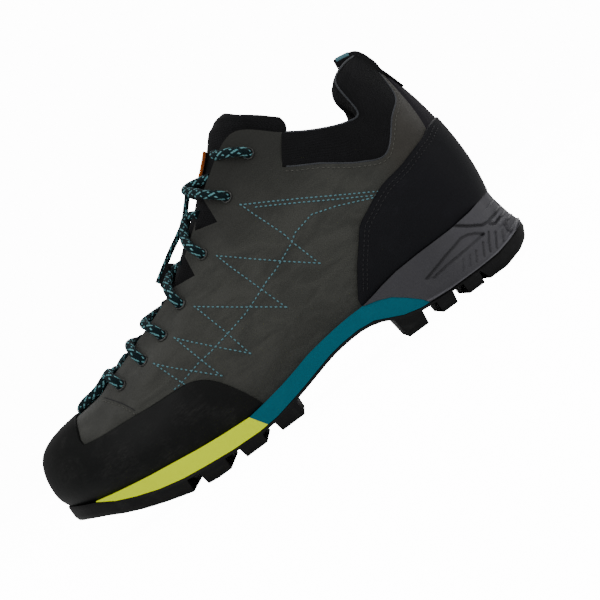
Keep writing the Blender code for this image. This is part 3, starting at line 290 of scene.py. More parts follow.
def hermite(points, knots, where):
    """Smooth curve through points (..., n, 3) with knots (..., n), read at where (...)."""
    points = np.broadcast_to(points, where.shape + points.shape[-2:])
    knots = np.broadcast_to(knots, where.shape + knots.shape[-1:])
    steps = np.diff(knots, axis=-1)
    slopes = np.diff(points, axis=-2) / steps[..., None]
    before, after = steps[..., :-1, None], steps[..., 1:, None]
    inner = (slopes[..., :-1, :] * after + slopes[..., 1:, :] * before) / (before + after)
    ends = [1.5 * slopes[..., k, :] - 0.5 * inner[..., k, :] for k in (0, -1)]
    tangents = np.concatenate([ends[0][..., None, :], inner, ends[1][..., None, :]], axis=-2)
    index = np.clip((knots <= where[..., None]).sum(axis=-1) - 1, 0, steps.shape[-1] - 1)[..., None]

    def pick(values, offset=0):
        return np.take_along_axis(values, (index + offset)[..., None], axis=-2)[..., 0, :]

    width = np.take_along_axis(steps, index, axis=-1)
    t = (where[..., None] - np.take_along_axis(knots, index, axis=-1)) / width
    return ((2 * t**3 - 3 * t**2 + 1) * pick(points) + (t**3 - 2 * t**2 + t) * (pick(tangents) * width)
            + (3 * t**2 - 2 * t**3) * pick(points, 1) + (t**3 - t**2) * (pick(tangents, 1) * width))


def chord_knots(points, power=0.5):
    """Knots spaced by the distance between the points; with power 1 the way along them."""
    gaps = np.linalg.norm(np.diff(points, axis=-2), axis=-1)**power
    return np.concatenate([np.zeros(gaps.shape[:-1] + (1,)), np.cumsum(gaps, axis=-1)], axis=-1)


def smooth_path(points, count):
    """Evenly spread points on a smooth curve through the given ones."""
    points = np.asarray(points, dtype=float)
    knots = chord_knots(points)
    return hermite(points, knots, np.linspace(knots[0], knots[-1], count))


def smooth_edge(rows, height, count=60):
    """Drawn edge as a smooth line; sharp rows are only its ends."""
    path = smooth_path([(x, 0.0, z) for x, z in side_outline(rows, height)], count)
    return [(float(x), float(z)) for x, _, z in path]


# %% The last's ribs and any point between them
def outsole_edge(side, count=400):
    """Half outline from the toe's tip to the heel's end, and what is outward there."""
    rows = np.array(OUTLINE)[::-1]
    column = 1 if side < 0 else 2
    points = np.stack([at(rows[:, 0]), side * rows[:, column] * BALL_WIDTH, np.zeros(len(rows))], axis=1)
    # the other side's first row lets the curve run straight across at both tips
    beyond = points[[1, -2]]
    beyond[:, 1] = rows[[1, -2], 3 - column] * -side * BALL_WIDTH
    whole = np.concatenate([beyond[:1], points, beyond[1:]])
    knots = chord_knots(whole)
    curve = hermite(whole, knots, np.linspace(knots[1], knots[-2], count))
    run = np.gradient(curve, axis=0)
    return curve, unit(np.stack([run[:, 1], -run[:, 0], np.zeros(count)], axis=1) * -side)


def feather_line(side, shares):
    """Points and outward normals on the upper's lower edge."""
    curve, normals = outsole_edge(side)
    near = soft_step(np.linspace(0.0, 1.0, len(curve)), HEEL_INSET_START, 1.0)
    curve = curve - normals * (FEATHER_INSET + (HEEL_INSET - FEATHER_INSET) * near)[:, None]
    length = chord_knots(curve, 1.0)
    point = read_along(shares * length[-1], length, curve)
    point[:, 2] = sole_height(point[:, 0], DECK_COLUMN)
    return point, unit(read_along(shares * length[-1], length, normals))


def last_ribs():
    """Feather, side, shoulder and top point of every rib, round the shoe, and seam shares."""
    (share, bulge, side_rise, lean_share, draw_in, shoulder_rise,
     top_along, top_half, top_rise, seam, fuller) = np.array(RIBS).T
    height = np.where(np.arange(len(RIBS)) > CORNER_RIB, BACK_HEIGHT, INSTEP_HEIGHT)
    rings = []
    for side, _ in SIDES:
        feather, out = feather_line(side, share)
        top = np.stack([at(top_along), side * top_half * BALL_WIDTH, top_rise * height], axis=1)
        lean, rise = top[:, 0] - feather[:, 0], top[:, 2] - feather[:, 2]
        more = fuller * (side > 0)
        wall = feather + out * ((bulge + 0.6 * more) * BALL_WIDTH)[:, None]
        wall[:, 0] += 0.35 * lean_share * lean
        wall[:, 2] += side_rise * rise
        shoulder = feather - out * ((draw_in - 1.4 * more) * BALL_WIDTH)[:, None]
        shoulder[:, 0] += lean_share * lean
        shoulder[:, 2] += shoulder_rise * rise
        rings.append(np.stack([feather, wall, shoulder, top], axis=1))
    outer, inner = rings
    # both halves share the middle ribs at the toe and at the heel
    outer[[0, -1]] = (outer[[0, -1]] + inner[[0, -1]]) / 2
    return np.concatenate([outer, inner[-2:0:-1]]), np.concatenate([seam, seam[-2:0:-1]])


RING, SEAMS = last_ribs()


def around(values, u):
    """Smooth closed curve through one value per rib, read at rib places u."""
    u = np.asarray(u, dtype=float)
    base = np.floor(u).astype(int)
    t = (u - base).reshape(u.shape + (1,) * (values.ndim - 1))
    a, b, c, d = (values[(base + k) % RIB_COUNT] for k in (-1, 0, 1, 2))
    return b + 0.5 * t * (c - a + t * (2 * a - 5 * b + 4 * c - d + t * (3 * (b - c) + d - a)))


def last_point(u, v):
    """Point on the last's surface: u round the ribs, v from feather line to top line."""
    u, v = np.broadcast_arrays(np.asarray(u, dtype=float), np.asarray(v, dtype=float))
    ribs = around(RING, u)
    knots = chord_knots(ribs)
    return hermite(ribs, knots, v * knots[..., -1])


def last_normal(u, v, step=0.004):
    """Outward normal of the last's surface."""
    along = last_point(u + step, v) - last_point(u - step, v)
    rising = last_point(u, np.clip(v + step, 0.0, 1.0)) - last_point(u, np.clip(v - step, 0.0, 1.0))
    return unit(np.cross(along, rising))


def mirrored(u, side):
    """Rib place of a spot on the outer side, or of its mirror image on the inner side."""
    return u if side < 0 else RIB_COUNT - u


# %% [markdown]
# Worn-in suede isn't as even as its last. A few soft troughs and ridges are placed where
# the photograph shows them: below the collar, behind the lowest eyelets and over the toes.
# Every layer on the last shares them, so that no two layers cross.

# %% Creases of the upper
# Place u, place v, half length along u, half width along v, turn, and height in metres.
CREASES = (
    (4.6, 0.55, 0.9, 0.1, 0.1, -0.0009), (5.6, 0.6, 1.0, 0.09, 0.05, -0.0007),
    (5.1, 0.72, 1.1, 0.08, -0.04, 0.0006), (7.3, 0.52, 1.6, 0.12, 0.05, -0.0007),
    (9.4, 0.42, 1.4, 0.13, -0.06, -0.0009), (8.6, 0.74, 0.9, 0.1, 0.06, 0.0005),
    (11.3, 0.66, 1.3, 0.09, -0.05, -0.0008), (12.6, 0.55, 1.2, 0.1, 0.03, 0.0006),
    (3.0, 0.7, 0.9, 0.08, 0.05, -0.0005),
)


def crease_height(u, v):
    """Height of the soft troughs and ridges at places of the upper, both sides alike."""
    near = np.minimum(u % RIB_COUNT, RIB_COUNT - u % RIB_COUNT)
    height = np.zeros(np.broadcast(u, v).shape)
    for place, level, long, wide, turn, rise in CREASES:
        across = (v - level - turn * (near - place)) / wide
        height += rise * np.exp(-((near - place) / long)**2 - across**2)
    return height * np.clip(v / 0.15, 0.0, 1.0) * np.clip((1.0 - v) / 0.10, 0.0, 1.0)


def shell_point(u, v, out):
    """Point at a distance from the last's surface, its creases included."""
    return last_point(u, v) + last_normal(u, v) * (out + crease_height(u, v))[..., None]


def share_at_height(u, rise_share):
    """Share v at which each rib reaches a share of its own rise."""
    levels = np.linspace(0.0, 1.0, 81)
    z = np.maximum.accumulate(last_point(u[:, None], levels)[..., 2], axis=1)
    aims = z[:, 0] + rise_share * (z[:, -1] - z[:, 0])
    return np.array([np.interp(aim, rib, levels) for aim, rib in zip(aims, z)])


def seam_share(u):
    """Share v of the collar's seam at rib places u."""
    return share_at_height(u, np.clip(around(SEAMS, u), 0.3, 0.96))


def share_below_edge(u, distance):
    """Share v at a distance measured down the surface from the top line."""
    levels = np.linspace(0.0, 1.0, 201)
    return 1.0 - np.interp(distance, chord_knots(last_point(u, levels)[::-1], 1.0), levels)


# %% [markdown]
# Seams and stitches are drawn in side view. To put a drawn line on the curved surface,
# the surface is read as a net of known places, the nearest one is found, and the place
# between its neighbours is worked out from the slope there.

# %% A side-view point on the surface
NET_U = np.linspace(0.0, HEEL_RIB, HEEL_RIB * 16 + 1)
NET_V = np.linspace(0.0, 1.0, 121)
NET, NEAREST = {}, {}
for side, _ in SIDES:
    NET[side] = last_point(*np.meshgrid(mirrored(NET_U, side), NET_V, indexing="ij"))
    NEAREST[side] = KDTree(NET_U.size * NET_V.size)
    for index, point in enumerate(NET[side].reshape(-1, 3)):
        NEAREST[side].insert((point[0], 0.0, point[2]), index)
    NEAREST[side].balance()


def find_places(line, side):
    """Places u and v of side-view points (x, z) on one side of the upper."""
    net, places = NET[side], []
    for x, z in line:
        i, j = divmod(NEAREST[side].find((x, 0.0, z))[1], net.shape[1])
        i, j = min(max(i, 1), net.shape[0] - 2), min(max(j, 1), net.shape[1] - 2)
        slopes = np.stack([net[i + 1, j] - net[i - 1, j], net[i, j + 1] - net[i, j - 1]], axis=1) / 2
        miss = np.array([x, z]) - net[i, j][[0, 2]]
        step = np.clip(np.linalg.lstsq(slopes[[0, 2]], miss, rcond=None)[0], -1.5, 1.5)
        places.append((mirrored((i + step[0]) * NET_U[1], side), (j + step[1]) * NET_V[1]))
    return np.array(places).T


print("surface of", RIB_COUNT, "ribs; net of", NET[-1].shape[:2], "places a side")

# %% [markdown]
# ## Mesh helpers
# Most pieces are grids of points: bands on the last, padded rolls, straps and cords. One
# helper turns a grid into a mesh with a UV map measured in metres, so that a weave or a
# braid keeps its real scale wherever the piece bends.

# %% Mesh helpers
def new_piece(name, vertices, faces, edges=(), closed=False):
    """Mesh object from corners and faces; those of a closed one are turned outwards."""
    mesh = bpy.data.meshes.new(name)
    mesh.from_pydata(np.asarray(vertices, dtype=float).tolist(), edges, faces)
    mesh.validate()
    piece = add_object(name, mesh)
    if closed:
        edit(piece, lambda shape: bmesh.ops.recalc_face_normals(shape, faces=shape.faces))
    return piece


def dress(piece, finish, angle=50.0, stands_for=None):
    """Round surfaces shaded smooth with edges kept, a finish, and the solid it stands for."""
    piece.data.shade_smooth()
    piece.data.set_sharp_from_angle(angle=np.radians(angle))
    if finish:
        piece.data.materials.append(finish)
    if stands_for:
        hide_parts(stands_for)
    return piece


def settle(piece):
    """Modifiers applied, so that the piece is a plain mesh."""
    bpy.context.view_layer.update()
    mesh = bpy.data.meshes.new_from_object(piece.evaluated_get(bpy.context.evaluated_depsgraph_get()))
    piece.modifiers.clear()
    piece.data = mesh
    return piece


def grid_piece(name, points, wrap_rows=False, wrap_columns=False, cap_ends=False):
    """Quads over a grid of points (rows, columns), with a UV map in metres."""
    rows, columns = points.shape[:2]
    i, j = np.indices((rows - (not wrap_rows), columns - (not wrap_columns))).reshape(2, -1)
    below, right = (i + 1) % rows, (j + 1) % columns
    faces = np.stack([i * columns + j, i * columns + right, below * columns + right,
                      below * columns + j], axis=1).tolist()
    if cap_ends:
        faces += [range(columns)[::-1], range((rows - 1) * columns, rows * columns)]
    piece = new_piece(name, points.reshape(-1, 3), faces, closed=cap_ends or (wrap_rows and wrap_columns))
    down = np.linalg.norm(np.diff(points, axis=0, append=points[:1]), axis=2).mean(axis=1)
    over = np.linalg.norm(np.diff(points, axis=1, append=points[:, :1]), axis=2).mean(axis=0)
    v, u = (np.concatenate([[0.0], np.cumsum(steps)]) for steps in (down, over))
    corners = np.stack([u[j], v[i], u[j + 1], v[i], u[j + 1], v[i + 1], u[j], v[i + 1]], axis=1)
    flat = np.zeros(2 * len(piece.data.loops))
    flat[:corners.size] = corners.ravel()
    piece.data.uv_layers.new(name="metres").data.foreach_set("uv", flat)
    return piece


def side_prism(name, outline, low=-BALL_WIDTH, high=BALL_WIDTH):
    """Side-view outline (x, z) carried straight across the shoe, from low to high in y."""
    count = len(outline)
    corners = [(x, y, z) for y in (low, high) for x, z in outline]
    faces = [range(count), range(count, 2 * count)[::-1]]
    faces += [(i, i + count, (i + 1) % count + count, (i + 1) % count) for i in range(count)]
    return new_piece(name, corners, faces, closed=True)


def carve(piece, cutter, operation="DIFFERENCE", keep=False):
    """Exact boolean with a cutter, applied at once."""
    modifier = piece.modifiers.new("carve", "BOOLEAN")
    modifier.operation, modifier.solver, modifier.object = operation, "EXACT", cutter
    settle(piece)
    if not keep:
        bpy.data.objects.remove(cutter)


def cord_piece(name, path, radius, turns=16):
    """Round cord along a path without twist, with closed ends and a UV map in metres."""
    run = unit(np.gradient(path, axis=0))
    side = np.cross(run[0], [0.0, 0.0, 1.0])
    if np.linalg.norm(side) < 0.1:
        side = np.cross(run[0], [0.0, 1.0, 0.0])
    sides = []
    for direction in run:
        side = unit(side - direction * np.dot(side, direction))
        sides.append(side)
    sides = np.array(sides)[:, None]
    angle = np.linspace(0.0, 2 * np.pi, turns, endpoint=False)[:, None]
    ring = sides * np.cos(angle) + np.cross(run[:, None], sides) * np.sin(angle)
    return grid_piece(name, path[:, None] + ring * radius, wrap_columns=True, cap_ends=True)


def join(name, pieces):
    """Several plain meshes as one piece."""
    if len(pieces) > 1:
        with bpy.context.temp_override(active_object=pieces[0], selected_editable_objects=pieces):
            bpy.ops.object.join()
    pieces[0].name = name
    return pieces[0]


def report(title, *pieces):
    """Prints how many triangles pieces have."""
    for piece in pieces:
        piece.data.calc_loop_triangles()
    print(title, [len(piece.data.loop_triangles) for piece in pieces], "triangles")


# %% [markdown]
# ## Finishes
# Each finish is built from small shader groups that several materials share: nap for
# suede, weave for textiles, a rubber skin with dust, and a braid for the cord. They read
# the piece's own coordinates, so a pattern never slides when the camera moves.

# %% Shader helpers
def mix(factor, first, second):
    """Colour between two, each three numbers or what a node gives."""
    colours = [c if isinstance(c, bpy.types.NodeSocket) else (*c, 1.0) for c in (first, second)]
    return node(factor.id_data, "ShaderNodeMix", {0: factor, 6: colours[0], 7: colours[1]},
                data_type="RGBA").outputs[2]


def ramp(factor, low, high):
    """Factor spread from 0 at low to 1 at high, with soft ends."""
    values = {"Value": factor, "From Min": low, "From Max": high}
    return node(factor.id_data, "ShaderNodeMapRange", values, interpolation_type="SMOOTHSTEP").outputs[0]


def noise(vector, scale, detail=3.0, roughness=0.55, distortion=0.0):
    return node(vector.id_data, "ShaderNodeTexNoise",
                {"Vector": vector, "Scale": scale, "Detail": detail, "Roughness": roughness,
                 "Distortion": distortion}).outputs["Fac"]


def stretched(vector, scale, lean):
    return node(vector.id_data, "ShaderNodeMapping",
                {"Vector": vector, "Scale": scale, "Rotation": (0.0, lean, 0.0)}).outputs[0]


def parts(vector):
    return tuple(node(vector.id_data, "ShaderNodeSeparateXYZ", {0: vector}).outputs)


def wave(value):
    """Distance from the middle of each whole step."""
    return maths("ABSOLUTE", minus(maths("FRACT", value), 0.5))


def group(name, inputs, outputs):
    """Empty shader group that reads a vector and numbers, given with their defaults."""
    tree = bpy.data.node_groups.new(name, "ShaderNodeTree")
    tree.interface.new_socket("Vector", in_out="INPUT", socket_type="NodeSocketVector")
    for key, default in inputs.items():
        socket = tree.interface.new_socket(key, in_out="INPUT", socket_type="NodeSocketFloat")
        socket.default_value = default
    for key in outputs:
        tree.interface.new_socket(key, in_out="OUTPUT", socket_type="NodeSocketFloat")
    return node(tree, "NodeGroupInput").outputs, node(tree, "NodeGroupOutput").inputs


def use(name, vector, **inputs):
    """A shared group placed in the tree that the vector comes from."""
    return node(vector.id_data, "ShaderNodeGroup", {"Vector": vector, **inputs},
                node_tree=bpy.data.node_groups[name]).outputs


# %% Shared shader groups
def nap_group():
    """Short brushed fibres: fine grain, and soft patches where the nap lies over."""
    given, out = group("nap", {"Grain": 2600.0, "Patch": 38.0}, ("Height", "Patches"))
    lying = stretched(given["Vector"], (1.0, 1.0, 2.4), 0.6)
    grain = noise(given["Vector"], given["Grain"], 2.0, 0.7)
    fibres = noise(lying, times(given["Grain"], 0.35), 3.0, 0.6, 0.4)
    wire(out, {"Height": plus(times(grain, 0.6), times(fibres, 0.6)),
               "Patches": ramp(noise(lying, given["Patch"], 4.0, 0.6, 0.8), 0.33, 0.68)})


def weave_group():
    """Knit or weave on a UV map in metres: rounded stitches in rows, and a share that follows their
    height, used for painted shade in the hollows between them.
    """
    given, out = group("weave", {"Rows": 900.0}, ("Height", "Thread"))
    across, along, _ = parts(given["Vector"])
    lean = wave(times(across, given["Rows"]))
    row = wave(plus(times(along, given["Rows"]), lean))
    height = plus(times(row, 1.2), times(lean, 0.8))
    # the Thread output is the stitches' height as a share: colour mixed by it is painted shade in the
    # hollows
    wire(out, {"Height": height, "Thread": ramp(height, 0.15, 0.75)})


def skin_group():
    """Moulded rubber or foam: fine pebbling, scuffs and settled dust."""
    given, out = group("skin", {"Pebble": 1400.0, "Scuff": 60.0}, ("Height", "Dust"))
    pebble = noise(given["Vector"], given["Pebble"], 2.0, 0.5)
    soft = noise(given["Vector"], given["Scuff"], 5.0, 0.65, 0.6)
    long = stretched(given["Vector"], (0.5, 1.0, 3.0), 0.5)
    scratch = noise(long, times(given["Scuff"], 6.0), 4.0, 0.7, 1.2)
    wire(out, {"Height": plus(times(pebble, 0.7), times(scratch, 0.3)),
               "Dust": times(ramp(soft, 0.42, 0.72), ramp(scratch, 0.35, 0.75))})


def braid_group():
    """Round braid on a UV map in metres: two crossing sets of strands, some coloured."""
    given, out = group("braid", {"Girth": 0.01627, "Carriers": 12.0, "Slope": 1.6}, ("Height", "Fleck"))
    across, along, _ = parts(given["Vector"])
    turn = times(maths("DIVIDE", across, given["Girth"]), given["Carriers"])
    climb = maths("DIVIDE", times(along, given["Carriers"]), times(given["Girth"], given["Slope"]))
    right, left = plus(turn, climb), minus(turn, climb)
    on_top = maths("FLOORED_MODULO", plus(maths("FLOOR", right), maths("FLOOR", left)), 2.0)
    heights, flecks = [], []
    for strand, seen in ((right, on_top), (left, minus(1.0, on_top))):
        crown = minus(1.0, times(maths("POWER", wave(strand), 2.0), 4.0))
        coloured = maths("LESS_THAN", maths("FLOORED_MODULO", maths("FLOOR", strand), 4.0), 0.9)
        heights.append(times(crown, seen))
        flecks.append(times(times(coloured, seen), ramp(crown, 0.1, 0.5)))
    wire(out, {"Height": plus(*heights), "Fleck": maths("MAXIMUM", *flecks)})


for make_group in (nap_group, weave_group, skin_group, braid_group):
    make_group()
print("groups", sorted(g.name for g in bpy.data.node_groups))


# %% Kinds of finish
def start_finish(name, roughness, sheen=0.0, gloss=0.25):
    """Material with its shader's inputs and the piece's own coordinates."""
    material = bpy.data.materials.new(name)
    material.use_nodes = True
    shader = material.node_tree.nodes["Principled BSDF"].inputs
    wire(shader, {"Roughness": roughness, "Sheen Weight": sheen, "Specular IOR Level": gloss})
    return material, shader, node(material.node_tree, "ShaderNodeTexCoord").outputs


def end_finish(material, shader, colour, height, depth, strength=1.0):
    """The material with its colour and its relief."""
    bump = node(material.node_tree, "ShaderNodeBump",
                {"Height": height, "Distance": depth, "Strength": strength})
    wire(shader, {"Base Color": colour, "Normal": bump.outputs[0]})
    return material


def suede(name, dark, light):
    """Napped leather: paler where the nap lies over, dark high in front, brown behind."""
    material, shader, place = start_finish(name, 0.95, 0.25)
    nap = use("nap", place["Object"])
    fleck = ramp(noise(place["Object"], 5200.0, 1.0), 0.35, 0.75)
    colour = mix(times(fleck, 0.35), mix(nap["Patches"], dark, light), [c * 1.5 for c in light])
    x, _, z = parts(place["Object"])
    high = times(ramp(z, 0.080, 0.135), 0.9)
    colour = mix(times(high, ramp(x, 0.0, -0.045)), colour, [c * 0.40 for c in light])
    behind = times(ramp(x, -0.012, 0.012), 0.75)
    colour = mix(behind, colour, [c * share for c, share in zip(light, (0.70, 0.61, 0.57))])
    return end_finish(material, shader, colour, nap["Height"], 0.00035, 0.7)


def rubber(name, colour, dusty, roughness, dust=0.5, pebble=1400.0, gloss=0.15):
    """Matte moulded rubber or foam with a little dust, and the painted shade and painted highlights that
    a piece stores.
    """
    material, shader, place = start_finish(name, roughness, gloss=gloss)
    skin = use("skin", place["Object"], Pebble=pebble)
    amount = times(skin["Dust"], dust)
    painted_light = node(material.node_tree, "ShaderNodeAttribute", attribute_name="moulded tone").outputs["Fac"]
    # the stored painted light scales the colour: down for painted shade, up for painted highlights
    toned = node(material.node_tree, "ShaderNodeVectorMath",
                 {0: mix(amount, colour, dusty), 3: plus(1.0, painted_light)}, operation="SCALE").outputs[0]
    wire(shader, {"Roughness": plus(roughness - 0.06, times(amount, 0.3))})
    return end_finish(material, shader, toned, skin["Height"], 0.00008)


def textile(name, dark, light, rows, depth=0.00025, sheen=0.04):
    """Knit or woven cloth on the piece's UV map, darker in the hollows of its weave as painted shade."""
    material, shader, place = start_finish(name, 0.92, sheen)
    weave = use("weave", place["UV"], Rows=rows)
    soft = ramp(noise(place["Object"], 70.0, 4.0), 0.2, 0.8)
    # painted shade: darker in the hollows between stitches, lighter on their crowns
    colour = mix(times(weave["Thread"], soft), dark, light)
    return end_finish(material, shader, colour, weave["Height"], depth)


def braided(name, ground, fleck, worn):
    """Round braided cord with coloured strands."""
    material, shader, place = start_finish(name, 0.8, 0.03, 0.12)
    braid = use("braid", place["UV"])
    strand = mix(ramp(noise(place["Object"], 900.0, 2.0), 0.3, 0.7), fleck, worn)
    colour = mix(braid["Fleck"], ground, strand)
    return end_finish(material, shader, colour, braid["Height"], 0.0004)


def thread(name, colour):
    """Twisted sewing thread, darker where its relief is low as painted shade."""
    material, shader, place = start_finish(name, 0.6, 0.1)
    twist = noise(place["Object"], 3000.0, 1.0)
    # painted shade: the same noise as the relief makes its low places darker
    shown = mix(ramp(twist, 0.3, 0.6), [c * 0.55 for c in colour], colour)
    return end_finish(material, shader, shown, twist, 0.0001)


def worn_metal(name, dark, light):
    material, shader, place = start_finish(name, 0.42)
    wire(shader, {"Metallic": 0.7})
    worn = ramp(noise(place["Object"], 1500.0, 3.0), 0.4, 0.7)
    return end_finish(material, shader, mix(worn, dark, light), worn, 0.00003)


# %% All finishes
SUEDE = suede("suede_grey", (0.0275, 0.0282, 0.0245), (0.0455, 0.0460, 0.0405))
SUEDE_EDGE = suede("suede_cut_edge", (0.085, 0.084, 0.080), (0.13, 0.128, 0.12))
RAND = rubber("rand_rubber", (0.0030, 0.0033, 0.0032), (0.030, 0.030, 0.029), 0.62, 0.66)
COUNTER = rubber("counter_rubber", (0.0036, 0.0037, 0.0056), (0.016, 0.0158, 0.020), 0.66, 0.45, 1100.0)
OUTSOLE = rubber("outsole_rubber", (0.0055, 0.0055, 0.0058), (0.030, 0.030, 0.030), 0.62, 0.6, 1800.0)
LIME = rubber("lime_midsole", (0.78, 0.94, 0.0), (0.66, 0.80, 0.0), 0.6, 0.2, 900.0, 0.0)
PETROL = rubber("blue_midsole", (0.002, 0.105, 0.150), (0.012, 0.16, 0.21), 0.42, 0.35, 900.0)
FOAM = rubber("grey_midsole", (0.062, 0.061, 0.068), (0.100, 0.100, 0.105), 0.6, 0.5, 900.0)
BACKSTAY = rubber("backstay_leather", (0.011, 0.0095, 0.013), (0.028, 0.025, 0.031), 0.7, 0.5, 2200.0)
COLLAR = textile("collar_knit", (0.0012, 0.0012, 0.0018), (0.0050, 0.0049, 0.0066), 900.0, sheen=0.01)
TONGUE_CLOTH = textile("tongue_cloth", (0.0022, 0.0022, 0.0028), (0.011, 0.011, 0.013), 800.0)
LINING = textile("lining_mesh", (0.0030, 0.0030, 0.0036), (0.012, 0.012, 0.014), 600.0)
FOOTBED = textile("footbed_cloth", (0.005, 0.005, 0.006), (0.018, 0.018, 0.020), 700.0)
WEBBING = textile("webbing", (0.0020, 0.0020, 0.0026), (0.011, 0.0112, 0.013), 700.0, 0.0004)
PIPING = textile("collar_piping", (0.025, 0.028, 0.034), (0.065, 0.068, 0.076), 900.0, sheen=0.2)
LABEL = textile("label_tape", (0.28, 0.045, 0.001), (0.50, 0.12, 0.004), 1200.0, 0.0002, 0.2)
CORD = braided("lace_braid", (0.0020, 0.0110, 0.0140), (0.10, 0.30, 0.33), (0.16, 0.36, 0.3795))
TEAL_THREAD = thread("teal_thread", (0.105, 0.25, 0.29))
GREY_THREAD = thread("grey_thread", (0.085, 0.083, 0.072))
# dark thread, also used for the painted shade in the eyelets' holes
DARK_THREAD_AND_HOLE_SHADE = thread("dark_thread", (0.008, 0.008, 0.010))
RUBBER_THREAD = thread("rubber_thread", (0.011, 0.011, 0.0135))
METAL = worn_metal("eyelet_metal", (0.045, 0.045, 0.044), (0.14, 0.14, 0.135))
print(len(bpy.data.materials), "finishes")

# %% [markdown]
# ## Sole
# The outsole and the three midsole pieces are slabs between heights of the side view,
# lofted over many stations and cut along their seams. The relief on the heel piece is
# moulded on the real shoe: it is drawn as lines in side view and pressed into the slab's
# side before the cuts are made.

# %% Slabs of the sole
SOLE_STATIONS = 170


def sole_stations(finer=()):
    """Points and outward normals on both sides of the outsole, at many shares of its length."""
    corners = np.clip(np.array(SOLE_PROFILE)[:, 0], 0.0004, 0.9996)
    extra = np.concatenate([(1 - np.cos(np.linspace(0.0, np.pi, 60))) / 2,
                            np.linspace(0.0, 1.0, SOLE_STATIONS), finer])
    extra = [s for s in np.unique(extra) if abs(corners - s).min() > 0.0008 and 0.0004 < s < 0.9996]
    extra = [s for k, s in enumerate(extra) if not k or s - extra[k - 1] > 0.0011]
    share = np.sort(np.concatenate([corners, extra]))
    sides = []
    for side, _ in SIDES:
        curve, normals = (line[::-1] for line in outsole_edge(side, 1600))
        along = np.maximum.accumulate(along_share(curve[:, 0]))
        point = read_along(share, along, curve)
        point[:, 0] = at(share)
        sides.append((point, unit(read_along(share, along, normals))))
    return sides


STATIONS = sole_stations()
HEEL_STATIONS = sole_stations(np.linspace(0.0, 0.36, 240))


def ladder(name, rings):
    """Closed solid from rings of (outer points, inner points), lowest ring first."""
    count = len(rings[0][0])
    stride, top = 2 * count, (len(rings) - 1) * 2 * count
    faces = []
    for k in range(count - 1):
        faces += [(k, k + 1, count + k + 1, count + k),
                  (top + k, top + count + k, top + count + k + 1, top + k + 1)]
        for a in range(k, top + k, stride):
            b = a + stride
            faces += [(a, b, b + 1, a + 1), (a + count, a + count + 1, b + count + 1, b + count)]
    for k in (0, count - 1):
        column = list(range(k, top + k + 1, stride))
        faces.append(column + [i + count for i in column[::-1]])
    return new_piece(name, np.concatenate([np.concatenate(ring) for ring in rings]), faces, closed=True)


def sole_slab(name, low, high, relief, rows, stations=STATIONS):
    """Slab between two heights; relief(x, height share, z) says how far out a point lies."""
    rings = []
    for share in np.linspace(0.0, 1.0, rows):
        ring = []
        for point, normal in stations:
            z = low(point[:, 0]) + share * (high(point[:, 0]) - low(point[:, 0]))
            moved = point + normal * np.asarray(relief(point[:, 0], share, z))[..., None]
            bottom = low(moved[:, 0])
            moved[:, 2] = bottom + share * (high(moved[:, 0]) - bottom)
            ring.append(moved)
        rings.append(ring)
    return ladder(name, rings)


def ring_solid(name, rings):
    """Closed solid from rings that run once round the shoe from the middle of the toe."""
    count = len(rings[0])
    half, top = count // 2, (len(rings) - 1) * count
    faces = [(r + k, r + (k + 1) % count, r + count + (k + 1) % count, r + count + k)
             for r in range(0, top, count) for k in range(count)]
    for base in (0, top):
        faces += [(base, base + 1, base + count - 1), (base + half - 1, base + half, base + half + 1)]
        faces += [(base + k, base + k + 1, base + count - k - 1, base + count - k)
                  for k in range(1, half - 1)]
    return new_piece(name, np.concatenate(rings), faces, closed=True)


def foot_of_upper():
    """Closed body that the midsole and outsole are hollowed with."""
    u = np.arange(RIB_COUNT * 8) / 8
    rings = [last_point(u, level) + last_normal(u, level) * GAP for level in np.linspace(0.0, 0.55, 14)]
    return ring_solid("foot_of_upper", [rings[0] - [0.0, 0.0, GAP]] + rings)


def line_distance(x, z, line):
    """Distance of side-view points from a drawn line."""
    x, z = np.broadcast_arrays(x, z)
    best = np.full(x.shape, 9.0)
    for (ax, az), (bx, bz) in zip(line, line[1:]):
        length = (bx - ax)**2 + (bz - az)**2
        t = np.clip(((x - ax) * (bx - ax) + (z - az) * (bz - az)) / length, 0.0, 1.0)
        best = np.minimum(best, np.hypot(x - ax - t * (bx - ax), z - az - t * (bz - az)))
    return best


def inside_outline(x, z, outline):
    """Whether side-view points lie in a closed outline."""
    inside = np.zeros(np.shape(x), dtype=bool)
    for (ax, az), (bx, bz) in zip(outline, outline[1:] + outline[:1]):
        reach = ax + (z - az) * (bx - ax) / (bz - az if bz != az else 1.0)
        inside ^= ((az > z) != (bz > z)) & (x < reach)
    return inside


# %% Outsole with its lugs and grooves
WEB_THICKNESS = 0.0016
GROOVE_WIDTH, GROOVE_DEPTH = 0.0040, 0.0048
# Foot of a gap in front, its roof from front to back, its foot behind: shares of the length.
LUG_GAPS = (
    (0.77, 0.767, 0.743, 0.733), (0.692, 0.69, 0.66, 0.65), (0.615, 0.612, 0.583, 0.573),
    (0.533, 0.53, 0.303, 0.293), (0.26, 0.252, 0.223, 0.221), (0.198, 0.187, 0.165, 0.163),
    (0.135, 0.129, 0.126, 0.103),
)
# Front and back as shares of the length, side as a share of the ball's width.
LONG_GROOVES = (
    (0.79, 0.54, -0.19), (0.79, 0.54, 0.17), (0.285, 0.095, -0.14), (0.285, 0.095, 0.135),
)


def outsole_relief(x, share, z):
    """Upright edge that draws in a little at the tread face."""
    return -0.0010 * (1.0 - soft_step(share, 0.0, 0.25)) - 0.0004 * soft_step(share, 0.9, 1.0)


def outsole_top(x):
    return sole_height(x, BASE_COLUMN)


